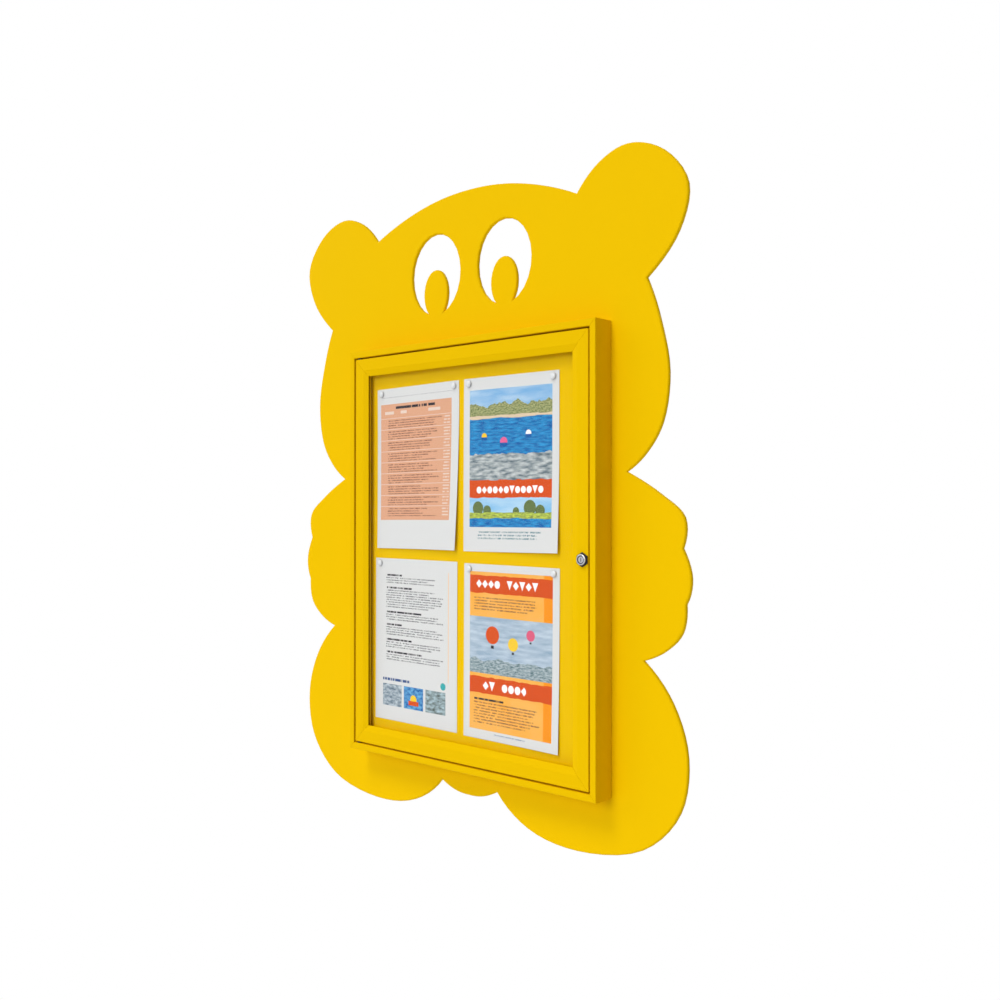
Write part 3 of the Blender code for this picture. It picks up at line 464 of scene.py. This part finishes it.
def make_shape_group(area_group):
    """Mask of a row of plain shapes: discs, diamonds and pennants, with gaps between them."""
    tree, get, across, up, result = new_mask_group(
        "Row of shapes", Left=0.0, Right=100.0, Bottom=0.0, Top=10.0, Seed=0.0
    )
    height = calc(tree, "SUBTRACT", get["Top"], get["Bottom"])
    depth = calc(tree, "DIVIDE", calc(tree, "SUBTRACT", get["Top"], up), height)
    along = calc(tree, "SUBTRACT", across, get["Left"])
    column = calc(tree, "DIVIDE", along, calc(tree, "MULTIPLY", height, SHAPE_PITCH))
    draw = chance(tree, calc(tree, "ADD", calc(tree, "FLOOR", column), get["Seed"]))
    off_middle = calc(tree, "SUBTRACT", calc(tree, "FRACT", column), 0.5)
    off_level = calc(tree, "SUBTRACT", depth, 0.5)
    reach = length_of(tree, place(tree, "CombineXYZ", {0: off_middle, 1: off_level}).outputs[0])
    disc = calc(tree, "LESS_THAN", reach, DISC_REACH)
    aside = calc(tree, "ABSOLUTE", off_middle)
    span = calc(tree, "ADD", aside, calc(tree, "ABSOLUTE", off_level))
    diamond = calc(tree, "LESS_THAN", span, DIAMOND_REACH)
    taper = calc(tree, "MULTIPLY", calc(tree, "SUBTRACT", 1.0, depth), PENNANT_REACH)
    pennant = calc(tree, "LESS_THAN", aside, taper)
    mask = calc(tree, "MULTIPLY", disc, calc(tree, "GREATER_THAN", draw, DISCS_FROM))
    for shape, share in ((diamond, DIAMONDS_FROM), (pennant, PENNANTS_FROM)):
        chosen = calc(tree, "GREATER_THAN", draw, share)
        kept = calc(tree, "MULTIPLY", mask, calc(tree, "SUBTRACT", 1.0, chosen))
        mask = calc(tree, "ADD", kept, calc(tree, "MULTIPLY", shape, chosen))
    inside = use_group(tree, area_group, {
        name: get[name] for name in ("Place", "Left", "Right", "Bottom", "Top")
    }).outputs[0]
    tree.links.new(calc(tree, "MULTIPLY", mask, inside), result)
    return tree


def make_ridge_group():
    """Mask of everything below a wavy skyline across a sheet. Sizes are in millimetres."""
    tree, get, across, up, result = new_mask_group("Skyline", Level=100.0, Rise=10.0, Wave=0.02, Seed=0.0)
    along = calc(tree, "ADD", calc(tree, "MULTIPLY", across, get["Wave"]), get["Seed"])
    wander = calc(tree, "SUBTRACT", noise_along(tree, along, scale=1.0, detail=4.0), 0.5)
    skyline = calc(tree, "ADD", get["Level"], calc(tree, "MULTIPLY", wander, get["Rise"]))
    tree.links.new(calc(tree, "LESS_THAN", up, skyline), result)
    return tree


COAT_GROUP = make_coat_group()
GRAIN_GROUP = make_grain_group()
PAPER_GROUP = make_paper_group()
MOTTLE_GROUP = make_mottle_group()
AREA_GROUP = make_area_group()
DISC_GROUP = make_disc_group()
PRINT_GROUP = make_print_group(AREA_GROUP)
SHAPE_GROUP = make_shape_group(AREA_GROUP)
RIDGE_GROUP = make_ridge_group()


# Materials of the case, the door and the lock


def coat_material(name, colour, peel, cloud, bump):
    material, tree, shader = new_material(name, Specular_IOR_Level=COAT_SPECULAR)
    coat = use_group(tree, COAT_GROUP, {"Colour": (*colour, 1.0), "Peel": peel, "Cloud": cloud}).outputs
    fill_inputs(tree, shader, {"Base Color": coat["Colour"], "Roughness": coat["Roughness"]})
    add_relief(tree, shader, coat["Height"], bump, COAT_RELIEF)
    return material


def add_grain(tree, shader, roughness, scale, spread, bump):
    """Fine grain all over a material, in its roughness and its relief. Returns the grain's height."""
    inputs = {"Scale": scale, "Roughness": roughness, "Spread": spread}
    grain = use_group(tree, GRAIN_GROUP, inputs).outputs
    fill_inputs(tree, shader, {"Roughness": grain["Roughness"]})
    add_relief(tree, shader, grain["Height"], bump, SKIN_RELIEF)
    return grain["Height"]


def metal_material(name, colour, roughness, scale):
    material, tree, shader = new_material(name, Metallic=1.0, Base_Color=(*colour, 1.0))
    add_grain(tree, shader, roughness, scale, METAL_ROUGHNESS_SPREAD, METAL_BUMP)
    return material


def lock_material():
    """Chrome turned on a lathe: fine rings about the lock's middle, and painted shade: its dished face
    coloured darker.
    """
    low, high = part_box("lock_body")
    middle = (low + high) / 2
    material, tree, shader = new_material("lock_chrome_finish", Metallic=1.0)
    offset = place(tree, "VectorMath", {0: object_place(tree), 1: middle}, operation="SUBTRACT").outputs[0]
    flat = place(tree, "VectorMath", {0: offset, 1: (1.0, 0.0, 1.0)}, operation="MULTIPLY").outputs[0]
    radius = length_of(tree, flat)
    past_plug = calc(tree, "GREATER_THAN", radius, LOCK_PLUG_HOLE - LOCK_DISH_MARGIN)
    # Painted shade: the ring of the dished face, from the plug out to the dish's edge, is coloured darker.
    dish_shade = calc(tree, "MULTIPLY", past_plug, calc(tree, "LESS_THAN", radius, LOCK_DISH_RADIUS))
    rings = noise_along(tree, radius, LOCK_RING_SCALE, detail=2.0)
    fill_inputs(tree, shader, {
        "Base Color": blend(tree, dish_shade, CHROME, CHROME_DISH_SHADE),
        "Roughness": calc(tree, "MULTIPLY_ADD", rings, LOCK_ROUGHNESS_SPREAD, LOCK_ROUGHNESS),
    })
    add_relief(tree, shader, rings, LOCK_RING_BUMP, LOCK_RING_RELIEF)
    return material


def plastic_material(name, colour, roughness, scale, foot=None, **sockets):
    """Moulded plastic or rubber: a fine uneven skin. A foot is a depth and a darker colour painted behind
    it: painted shade round the back of a magnet.
    """
    material, tree, shader = new_material(name, **sockets)
    skin = add_grain(tree, shader, roughness, scale, PLASTIC_ROUGHNESS_SPREAD, PLASTIC_BUMP)
    tint = blend(tree, skin, shaded(colour, PLASTIC_SHADE), colour)
    if foot:
        # Painted shade: all that lies behind the foot's depth takes the darker colour.
        depth, shade_colour = foot
        place_along = place(tree, "SeparateXYZ", {0: object_place(tree)}).outputs
        behind = calc(tree, "GREATER_THAN", place_along["Y"], depth)
        tint = blend(tree, behind, tint, shade_colour)
    fill_inputs(tree, shader, {"Base Color": tint})
    return material


def glass_material():
    """Clear pane with an anti-reflective finish, which lets the lamps' light through."""
    material, tree, shader = new_material(
        "clear_pane", Base_Color=(*CLEAR, 1.0), Roughness=0.0, Transmission_Weight=1.0, IOR=GLASS_IOR
    )
    open_way = place(tree, "BsdfTransparent").outputs[0]
    rays = tree.nodes.new("ShaderNodeLightPath").outputs
    surface = shader.outputs[0]
    for ray in ("Is Shadow Ray", "Is Diffuse Ray"):
        surface = place(tree, "MixShader", {0: rays[ray], 1: surface, 2: open_way}).outputs[0]
    tree.links.new(surface, tree.nodes["Material Output"].inputs["Surface"])
    return material


def magnet_shade_front():
    """Depth from which a magnet is coloured darker towards its back: painted shade round the foot of its
    cap.
    """
    low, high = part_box("magnet_1")
    return high.y - MAGNET_SHADE_SHARE * (high.y - low.y)


MATERIALS = {
    "plate_coat": coat_material("plate_coat_finish", YELLOW, peel=620.0, cloud=0.02, bump=0.22),
    "frame_coat": coat_material("frame_coat_finish", SHADED_FRAME_YELLOW, peel=760.0, cloud=0.02, bump=0.18),
    "panel_coat": coat_material("panel_coat_finish", YELLOW, peel=900.0, cloud=0.015, bump=0.12),
    "cast_cleat": metal_material("cast_cleat_finish", CAST_METAL, roughness=0.4, scale=260.0),
    "zinc_steel": metal_material("zinc_steel_finish", ZINC, roughness=0.38, scale=500.0),
    "lock_chrome": lock_material(),
    "dark_nickel": plastic_material(
        "dark_nickel_finish", DARK_NICKEL, roughness=0.3, scale=400.0, Specular_IOR_Level=0.2
    ),
    "black_rubber": plastic_material("black_rubber_finish", BLACK_RUBBER, roughness=0.7, scale=500.0),
    "black_nylon": plastic_material(
        "black_nylon_finish", BLACK_NYLON, roughness=0.5, scale=500.0, Specular_IOR_Level=0.15
    ),
    # The foot colours the back half of each magnet darker, as painted shade.
    "magnet_cap": plastic_material(
        "magnet_cap_finish", MAGNET_CAP, roughness=0.2, scale=200.0,
        foot=(magnet_shade_front(), MAGNET_SIDE_SHADE), Coat_Weight=0.3,
    ),
    "clear_glass": glass_material(),
}


# Print on the sheets


class Page:
    """The print on one sheet, laid on in layers from the paper up. Sizes are in millimetres."""

    def __init__(self, name):
        self.material, self.tree, self.shader = new_material(
            name, Roughness=PAPER_ROUGHNESS, Specular_IOR_Level=PAPER_SPECULAR
        )
        uv = self.tree.nodes.new("ShaderNodeTexCoord").outputs["UV"]
        scale = (SHEET_SIZE[0] * 1000, SHEET_SIZE[1] * 1000, 1.0)
        self.place = place(self.tree, "Mapping", {"Vector": uv, "Scale": scale}).outputs[0]
        paper = use_group(self.tree, PAPER_GROUP, {"Place": self.place}).outputs
        add_relief(self.tree, self.shader, paper["Height"], PAPER_BUMP, SKIN_RELIEF)
        self.colour = paper["Colour"]

    def mask(self, group, **numbers):
        """The mask that one of the shared effects makes on this sheet."""
        return use_group(self.tree, group, {"Place": self.place, **numbers}).outputs[0]

    def area(self, left, right, bottom, top):
        return self.mask(AREA_GROUP, Left=left, Right=right, Bottom=bottom, Top=top)

    def below_ridge(self, level, rise, wave, seed):
        return self.mask(RIDGE_GROUP, Level=level, Rise=rise, Wave=wave, Seed=seed)

    def disc(self, x, z, radius):
        return self.mask(DISC_GROUP, X=x, Z=z, Radius=radius)

    def both(self, first, second):
        return calc(self.tree, "MULTIPLY", first, second)

    def either(self, masks):
        total = masks[0]
        for mask in masks[1:]:
            total = calc(self.tree, "MAXIMUM", total, mask)
        return total

    def mottled(self, colours, scale, stretch):
        """A colour that wanders between two, in patches drawn out across the sheet."""
        first, second = colours
        return use_group(self.tree, MOTTLE_GROUP, {
            "Place": self.place, "Scale": scale, "Stretch": stretch,
            "First": (*first, 1.0), "Second": (*second, 1.0),
        }).outputs[0]

    def paint(self, mask, colour):
        self.colour = blend(self.tree, mask, self.colour, colour)

    def block(self, left, right, bottom, top, colour):
        self.paint(self.area(left, right, bottom, top), colour)

    def lines(self, left, right, bottom, top, colour, pitch, weight, ragged, seed, solid=0.0):
        """Rows of print. The weight is the marks' height as a share of the pitch."""
        mask = self.mask(
            PRINT_GROUP, Left=left, Right=right, Bottom=bottom, Top=top,
            Pitch=pitch, Weight=weight, Ragged=ragged, Seed=seed, Solid=solid,
        )
        self.paint(mask, colour)

    def heading(self, left, right, bottom, top, colour, seed):
        """One row of thick plain bars."""
        self.lines(
            left, right, bottom, top, colour,
            pitch=(top - bottom) * HEADING_PITCH, weight=HEADING_WEIGHT, ragged=0.0, seed=seed, solid=1.0,
        )

    def shapes(self, left, right, bottom, top, colour, seed):
        mask = self.mask(SHAPE_GROUP, Left=left, Right=right, Bottom=bottom, Top=top, Seed=seed)
        self.paint(mask, colour)

    def finish(self):
        fill_inputs(self.tree, self.shader, {"Base Color": self.colour})
        return self.material


def notice_page():
    """White page with a salmon panel of ruled rows of fine print under a dark heading."""
    page = Page("printed_notice")
    page.lines(12, 196, 279.4, 281, FAINT_INK, pitch=2.2, weight=0.5, ragged=0.0, seed=3)
    page.block(9, 192, 53, 268, SALMON)
    page.heading(48, 152, 258, 263, INK, seed=11)
    for left, right in ((20, 44), (62, 78), (134, 164)):
        page.block(left, right, 249, 254.5, PALE_LABEL)
    row_pitch = 20.4
    for step in range(9):
        top = 241 - step * row_pitch
        page.block(9, 192, top, top + 0.9, PALE_LABEL)
        page.lines(28, 168, top - 18, top - 3, BROWN, pitch=4.4, weight=0.5, ragged=0.4, seed=20 + step * 7)
        page.lines(
            173, 189, top - 18, top - 3, PALE_LABEL,
            pitch=5.6, weight=0.4, ragged=0.1, seed=90 + step * 7, solid=1.0,
        )
    return page.finish()


def landscape_page():
    """White-edged poster: a lake under hills, a red-orange band, and a meadow with round trees."""
    page = Page("printed_landscape")
    picture = page.area(14, 196, 42, 276)

    def paint_below(level, colour, rise, wave, seed):
        page.paint(page.both(page.below_ridge(level, rise, wave, seed), picture), colour)

    page.paint(picture, page.mottled(CLEAR_SKY, scale=0.04, stretch=4.0))
    paint_below(250, page.mottled(FAR_HILLS, scale=0.5, stretch=2.0), rise=30, wave=0.03, seed=4)
    paint_below(231, SAND, rise=5, wave=0.02, seed=9)
    paint_below(226, page.mottled(WATER, scale=0.3, stretch=5.0), rise=4, wave=0.02, seed=12)
    buoys = ((48, 196, 6, SUN_YELLOW), (92, 186, 8, PINK), (146, 198, 6, WHITE))
    for x, z, radius, colour in buoys:
        page.paint(page.disc(x, z, radius), colour)
        page.block(x - radius, x + radius, z - radius * 1.1, z - radius * 0.2, LAKE_BLUE)
    paint_below(166, page.mottled(ROCKS, scale=0.2, stretch=3.5), rise=12, wave=0.04, seed=17)
    paint_below(122, RED_ORANGE, rise=5, wave=0.05, seed=30)
    page.shapes(30, 181, 98.5, 112, WHITE, seed=44)
    paint_below(92, page.mottled(LOW_SKY, scale=0.05, stretch=4.0), rise=5, wave=0.05, seed=51)
    crowns = ((34, 74, 12), (55, 70, 9), (150, 75, 13), (172, 70, 10), (120, 69, 7))
    trees = page.either([page.disc(*crown) for crown in crowns])
    page.paint(page.both(trees, picture), page.mottled(TREES, scale=0.7, stretch=1.0))
    paint_below(67, page.mottled(MEADOW, scale=0.4, stretch=3.0), rise=6, wave=0.02, seed=60)
    paint_below(57, page.mottled(WATER, scale=0.3, stretch=5.0), rise=6, wave=0.03, seed=66)
    page.lines(34, 176, 19, 35, SEA_INK, pitch=5.4, weight=0.5, ragged=0.12, seed=71)
    return page.finish()


def letter_page():
    """White page of small print with short dark headings, beside a thin orange rule."""
    page = Page("printed_letter")
    page.block(188, 189.6, 84, 276, SOFT_ORANGE)
    pitch, heading_room, gap = 4.3, 5.6, 4.6
    top = 268
    for step, rows in enumerate((3, 8, 3, 4, 3, 3)):
        page.heading(30, 70 + 26 * (step % 3), top - 3.4, top, INK, seed=17 * step)
        foot = top - heading_room - pitch * rows
        page.lines(
            28, 180, foot, top - heading_room, GREY_INK,
            pitch=pitch, weight=0.5, ragged=0.3, seed=31 * step + 5,
        )
        top = foot - gap
    for left, colours in ((20, SLATES), (76, DEEP_WATER), (132, SEAWEED)):
        page.paint(page.area(left, left + 50, 26, 66), page.mottled(colours, scale=0.2, stretch=2.0))
    page.paint(page.disc(101, 44, 8), SUN_YELLOW)
    page.block(88, 114, 33, 41, RED_ORANGE)
    page.paint(page.disc(176, 76, 6.5), TEAL)
    page.heading(20, 92, 72, 77, NAVY_INK, seed=405)
    return page.finish()


def fair_page():
    """Orange poster with red-orange bands round a blue picture of balloons over hills."""
    page = Page("printed_fair")
    ground = page.area(14, 196, 16, 284)
    strip = page.area(178, 196, 16, 284)
    glow = page.mottled((LIGHT_ORANGE, WARM_ORANGE), scale=0.012, stretch=1.0)

    def ground_below(level, seed):
        return page.both(page.below_ridge(level, rise=4, wave=0.05, seed=seed), ground)

    def paint_ground(mask):
        page.paint(mask, glow)
        page.paint(page.both(mask, strip), STRONG_ORANGE)

    paint_ground(ground)
    page.paint(ground_below(278, seed=3), RED_ORANGE)
    page.shapes(28, 166, 256, 271, WHITE, seed=8)
    paint_ground(ground_below(248, seed=13))
    page.lines(24, 172, 218, 241, BROWN, pitch=4.8, weight=0.5, ragged=0.25, seed=21)
    picture = page.area(14, 196, 112, 208)
    page.paint(picture, page.mottled(EVENING_SKY, scale=0.12, stretch=5.0))
    balloons = ((66, 178, 15, RED_ORANGE), (112, 166, 11, SUN_YELLOW), (150, 184, 9, CRIMSON))
    for x, z, radius, colour in balloons:
        page.paint(page.disc(x, z, radius), colour)
        page.block(x - radius * 0.22, x + radius * 0.22, z - radius * 1.5, z - radius * 1.15, INK)
    hills = page.both(page.below_ridge(136, rise=16, wave=0.03, seed=25), picture)
    page.paint(hills, page.mottled(BLUE_HILLS, scale=0.4, stretch=3.0))
    page.paint(ground_below(106, seed=33), RED_ORANGE)
    page.shapes(44, 141, 83.5, 99, WHITE, seed=36)
    paint_ground(ground_below(78, seed=43))
    page.heading(24, 92, 66, 69.5, INK, seed=61)
    page.lines(24, 172, 26, 63, BROWN, pitch=4.8, weight=0.5, ragged=0.25, seed=51)
    page.lines(70, 140, 8.5, 12, SLATE_INK, pitch=3.4, weight=0.6, ragged=0.0, seed=77)
    return page.finish()


# New pieces


def add_piece(name, mesh, material, body, node):
    """Turn a finished bmesh into a piece that rides on a body and stands for a CAD node. The slot is
    the one in the record that the material belongs to."""
    data = bpy.data.meshes.new(name)
    mesh.to_mesh(data)
    mesh.free()
    data.materials.append(material)
    data.shade_smooth()
    data.set_sharp_from_angle(angle=SMOOTH_ANGLE)
    piece = bpy.data.objects.new(name, data)
    bpy.context.scene.collection.objects.link(piece)
    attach(piece, body)
    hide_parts(node)
    return piece


def smooth_flats(piece):
    """Keep flat faces flat to the eye, and let only the narrow rounds between them turn."""
    weighted = piece.modifiers.new("Weighted Normal", "WEIGHTED_NORMAL")
    weighted.weight = FLAT_FACE_WEIGHT
    weighted.keep_sharp = True


def merged_copy(node):
    """The mesh of a CAD node with its loose triangles joined along their edges."""
    mesh = bmesh.new()
    mesh.from_mesh(frame["nodes"][node].data)
    bmesh.ops.remove_doubles(mesh, verts=mesh.verts[:], dist=MERGE_DISTANCE)
    mesh.normal_update()
    return mesh


def flat_faced_copy(node):
    """The mesh of a CAD node with its triangles joined into whole flat faces."""
    mesh = merged_copy(node)
    bmesh.ops.dissolve_limit(
        mesh, angle_limit=FLAT_ANGLE, verts=mesh.verts[:], edges=mesh.edges[:], delimit={"NORMAL"}
    )
    return mesh


def round_edges(mesh, edges, size, segments):
    bmesh.ops.bevel(
        mesh, geom=edges, offset=size, segments=segments, profile=0.5, affect="EDGES", material=-1,
        clamp_overlap=True,
    )


def add_member(node, body):
    """A frame member with its long edges softly rounded, as extruded and coated metal has them."""
    mesh = flat_faced_copy(node)
    edges = [
        edge
        for edge in mesh.edges
        if edge.calc_length() > LONG_EDGE
        and len(edge.link_faces) == 2
        and edge.calc_face_angle() > FOLD_ANGLE
    ]
    round_edges(mesh, edges, MEMBER_ROUND, segments=2)
    smooth_flats(add_piece(f"{node}_rounded", mesh, MATERIALS["frame_coat"], body, node))


def add_plate():
    """The plate, smooth-shaded round its cut and rounded edge."""
    mesh = merged_copy("mounting_plate")
    smooth_flats(
        add_piece("plate_smoothed", mesh, MATERIALS["plate_coat"], "case", "mounting_plate")
    )


def sheet_place(node):
    """Middle of the back of a CAD sheet, and its tilt on the panel."""
    corners = frame["nodes"][node].data.vertices
    points = {tuple(round(value, 5) for value in vert.co) for vert in corners}
    back = max(point[1] for point in points)
    outline = [Vector(point) for point in points if point[1] == back]
    middle = sum(outline, Vector()) / len(outline)
    right = [point for point in outline if point.x > middle.x]
    edge = max(right, key=lambda point: point.z) - min(right, key=lambda point: point.z)
    return middle, math.atan2(edge.x, edge.z)


def add_sheet(corner, material, lift):
    """One sheet of paper on the panel. The lift gives how far a point stands off and is drawn
    sideways and up by the curl, in metres, from its place across and up the sheet, from -1 to 1."""
    node = f"sheet_{corner}"
    mesh = bmesh.new()
    mesh.loops.layers.uv.new("UVMap")
    bmesh.ops.create_grid(
        mesh, x_segments=SHEET_GRID[0], y_segments=SHEET_GRID[1], size=0.5, calc_uvs=True
    )
    for vert in mesh.verts:
        height, sideways, upward = lift(vert.co.x * 2, vert.co.y * 2)
        x = vert.co.x * SHEET_SIZE[0] + sideways
        z = vert.co.y * SHEET_SIZE[1] + upward
        vert.co = (x, -PAPER_THICKNESS - height, z)
    middle, tilt = sheet_place(node)
    bmesh.ops.transform(
        mesh, matrix=Matrix.Translation(middle) @ Matrix.Rotation(tilt, 4, "Y"), verts=mesh.verts[:]
    )
    bmesh.ops.recalc_face_normals(mesh, faces=mesh.faces[:])
    if sum(face.normal.y for face in mesh.faces) > 0:
        bmesh.ops.reverse_faces(mesh, faces=mesh.faces[:])
    bmesh.ops.solidify(mesh, geom=mesh.faces[:], thickness=PAPER_THICKNESS)
    add_piece(f"paper_{corner}", mesh, material, "case", node)


def share_right(across):
    return (1 + across) / 2


def bow_below(up, start):
    """0 above the level where a sheet starts to come away, and 1 at its foot."""
    return max(0.0, (start - up) / (start + 1))


def lift_top_left(across, up):
    """Bows out below its two magnets, most at the lower right corner."""
    bow = bow_below(up, start=0.75) ** 1.5
    right = share_right(across) ** 2
    height = 0.0003 + bow * (0.0026 + 0.0031 * right)
    sideways = -bow * (0.0012 + 0.0078 * right)
    upward = bow * (0.0028 - 0.0015 * right)
    return height, sideways, upward


def lift_top_right(across, up):
    """Its lower right corner stands off."""
    bow = bow_below(up, start=0.2) ** 1.6 * share_right(across) ** 1.2
    height = RIPPLE * (1 + math.sin(2.4 * up - across)) + 0.0058 * bow
    return height, 0.0016 * bow, 0.0036 * bow


def lift_bottom_left(across, up):
    """Lies close, with a faint ripple."""
    return RIPPLE * (1 + math.sin(2.0 * up + 1.5 * across)), 0.0, 0.0


def lift_bottom_right(across, up):
    """Its lower right corner and right edge stand off a little."""
    bow = bow_below(up, start=0.5) ** 1.5 * share_right(across) ** 2
    return RIPPLE * (1 + math.sin(2.6 * up)) + 0.0034 * bow, 0.0, 0.0


def spun(profile):
    """A round solid about Z from its (radius, height) points. It ends on the axis or closes on itself."""
    mesh = bmesh.new()
    verts = [mesh.verts.new((radius, 0.0, height)) for radius, height in profile]
    edges = [mesh.edges.new(pair) for pair in zip(verts, verts[1:])]
    if profile[0][0] > 0:
        edges.append(mesh.edges.new((verts[-1], verts[0])))
    bmesh.ops.spin(
        mesh, geom=verts + edges, axis=(0, 0, 1), cent=(0, 0, 0), angle=math.tau, steps=SPIN_STEPS,
        use_merge=True,
    )
    bmesh.ops.remove_doubles(mesh, verts=mesh.verts[:], dist=SPIN_MERGE_DISTANCE)
    return mesh


def stand_out(mesh, middle, back):
    """Turn a round solid so that it stands out from a depth towards the viewer."""
    turn = Matrix.Translation((middle.x, back, middle.z)) @ Matrix.Rotation(math.pi / 2, 4, "X")
    bmesh.ops.transform(mesh, matrix=turn, verts=mesh.verts[:])
    bmesh.ops.recalc_face_normals(mesh, faces=mesh.faces[:])


def quarter_round(centre_radius, centre_height, size, steps):
    """Points of a rounded outer edge, from its side up to its top."""
    angles = [math.pi / 2 * step / steps for step in range(steps + 1)]
    return [(centre_radius + size * math.cos(a), centre_height + size * math.sin(a)) for a in angles]


def add_lock_body():
    """The lock's turned body: a barrel, and a bezel with a rounded rim and a dished face."""
    low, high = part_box("lock_body")
    length = high.y - low.y
    rim = (high.x - low.x) / 2
    shoulder = length - LOCK_BEZEL_HEIGHT
    face = length - LOCK_DISH_DEPTH
    mesh = spun([
        (LOCK_PLUG_HOLE, 0.0),
        (LOCK_BARREL_RADIUS, 0.0),
        (LOCK_BARREL_RADIUS, shoulder),
        (rim, shoulder),
        *quarter_round(rim - LOCK_RIM_ROUND, length - LOCK_RIM_ROUND, LOCK_RIM_ROUND, LOCK_RIM_STEPS),
        (LOCK_DISH_RADIUS, length),
        (LOCK_DISH_RADIUS - LOCK_DISH_DEPTH, face),
        (LOCK_PLUG_HOLE, face),
    ])
    stand_out(mesh, (low + high) / 2, high.y)
    add_piece("lock_body_turned", mesh, MATERIALS["lock_chrome"], "door", "lock_body")


def add_lock_collar():
    """The hexagonal collar under the bezel, with its outer edges eased as on a nut."""
    mesh = flat_faced_copy("lock_collar")
    low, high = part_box("lock_collar")
    middle = (low + high) / 2

    def from_axis(vert):
        return math.hypot(vert.co.x - middle.x, vert.co.z - middle.z)

    edges = [edge for edge in mesh.edges if all(from_axis(vert) > COLLAR_EDGES_FROM for vert in edge.verts)]
    round_edges(mesh, edges, COLLAR_ROUND, segments=3)
    smooth_flats(
        add_piece("lock_collar_eased", mesh, MATERIALS["dark_nickel"], "door", "lock_collar")
    )


def add_magnet(number):
    """A round magnet: a glossy domed cap with a soft edge, over its thin foot."""
    node = f"magnet_{number}"
    low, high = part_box(node)
    radius = (high.x - low.x) / 2
    height = high.y - low.y
    foot = MAGNET_FOOT_SHARE * height
    dome_start = foot * MAGNET_DOME_LEVEL
    profile = [
        (0.0, 0.0),
        (radius * MAGNET_BACK_RADIUS, 0.0),
        (radius * MAGNET_FOOT_RADIUS, foot),
        (radius, foot * MAGNET_RIM_LEVEL),
    ]
    for step in range(MAGNET_DOME_STEPS):
        angle = math.pi / 2 * step / MAGNET_DOME_STEPS
        rise = dome_start + (height - dome_start) * math.sin(angle) ** MAGNET_DOME_RISE
        profile.append((radius * math.cos(angle) ** MAGNET_DOME_FULLNESS, rise))
    profile.append((0.0, height))
    mesh = spun(profile)
    stand_out(mesh, (low + high) / 2, high.y)
    add_piece(f"magnet_cap_{number}", mesh, MATERIALS["magnet_cap"], "case", node)


def dress_nodes():
    """Give each CAD node that stays the finish of its material slot."""
    for part in frame["record"]["subparts"]:
        node = frame["nodes"][part["node"]]
        finish = MATERIALS.get(part["material_slot"])
        if finish:
            node.data.materials.clear()
            node.data.materials.append(finish)


# The whole case, dressed
dress_nodes()
add_plate()
for side in SIDES:
    add_member(f"case_frame_{side}", "case")
    add_member(f"glazing_bead_{side}", "door")
for member in DOOR_MEMBERS:
    add_member(member, "door")
add_sheet("top_left", notice_page(), lift_top_left)
add_sheet("top_right", landscape_page(), lift_top_right)
add_sheet("bottom_left", letter_page(), lift_bottom_left)
add_sheet("bottom_right", fair_page(), lift_bottom_right)
for magnet_number in range(1, MAGNET_COUNT + 1):
    add_magnet(magnet_number)
add_lock_body()
add_lock_collar()


# Stage, light and camera


def seen_ray(tree):
    """1 for a ray that the camera sees straight, mirrored or through glass, and 0 for light."""
    rays = tree.nodes.new("ShaderNodeLightPath").outputs
    seen = calc(tree, "MAXIMUM", rays["Is Camera Ray"], rays["Is Glossy Ray"])
    seen = calc(tree, "MAXIMUM", seen, rays["Is Transmission Ray"])
    return calc(tree, "MULTIPLY", seen, calc(tree, "LESS_THAN", rays["Diffuse Depth"], 0.5))


def add_floor():
    """Pale floor, which the camera and reflections see as the white surroundings."""
    mesh = bmesh.new()
    bmesh.ops.create_grid(mesh, x_segments=1, y_segments=1, size=FLOOR_SIZE / 2)
    data = bpy.data.meshes.new("floor")
    mesh.to_mesh(data)
    mesh.free()
    floor = bpy.data.objects.new("floor", data)
    floor.location.z = FLOOR_Z
    material, tree, shader = new_material(
        "floor_pale", Base_Color=(*PALE_FLOOR, 1.0), Roughness=FLOOR_ROUGHNESS
    )
    glow = place(tree, "Emission", {"Color": (*WHITE, 1.0), "Strength": 1.0})
    mix = place(tree, "MixShader", {0: seen_ray(tree), 1: shader.outputs[0], 2: glow.outputs[0]})
    tree.links.new(mix.outputs[0], tree.nodes["Material Output"].inputs["Surface"])
    data.materials.append(material)
    bpy.context.scene.collection.objects.link(floor)


def add_lamp(name, direction, angle, strength):
    """A soft lamp far away, which lights everything from one direction."""
    data = bpy.data.lights.new(name, "SUN")
    data.angle = math.radians(angle)
    data.energy = strength
    lamp = bpy.data.objects.new(name, data)
    lamp.location = direction
    lamp.rotation_euler = Vector(direction).to_track_quat("Z", "Y").to_euler()
    bpy.context.scene.collection.objects.link(lamp)


def light_scene():
    """Even light from the white surroundings, which are seen at full strength, and the lamps."""
    world = bpy.data.worlds.new("studio")
    bpy.context.scene.world = world
    world.use_nodes = True
    tree = world.node_tree
    background = tree.nodes["Background"]
    background.inputs["Color"].default_value = (*WHITE, 1.0)
    tree.links.new(calc(tree, "MAXIMUM", seen_ray(tree), AMBIENT), background.inputs["Strength"])
    for name, direction, angle, strength in LAMPS:
        add_lamp(name, direction, angle, strength)


def add_camera():
    data = bpy.data.cameras.new("camera")
    data.lens = CAMERA_LENS
    data.shift_y = CAMERA_SHIFT
    camera = bpy.data.objects.new("camera", data)
    camera.location = CAMERA_PLACE
    camera.rotation_euler = (math.pi / 2 + CAMERA_PITCH, 0.0, CAMERA_YAW)
    bpy.context.scene.collection.objects.link(camera)
    bpy.context.scene.camera = camera


add_floor()
light_scene()
add_camera()
bpy.context.scene.view_settings.view_transform = "Standard"
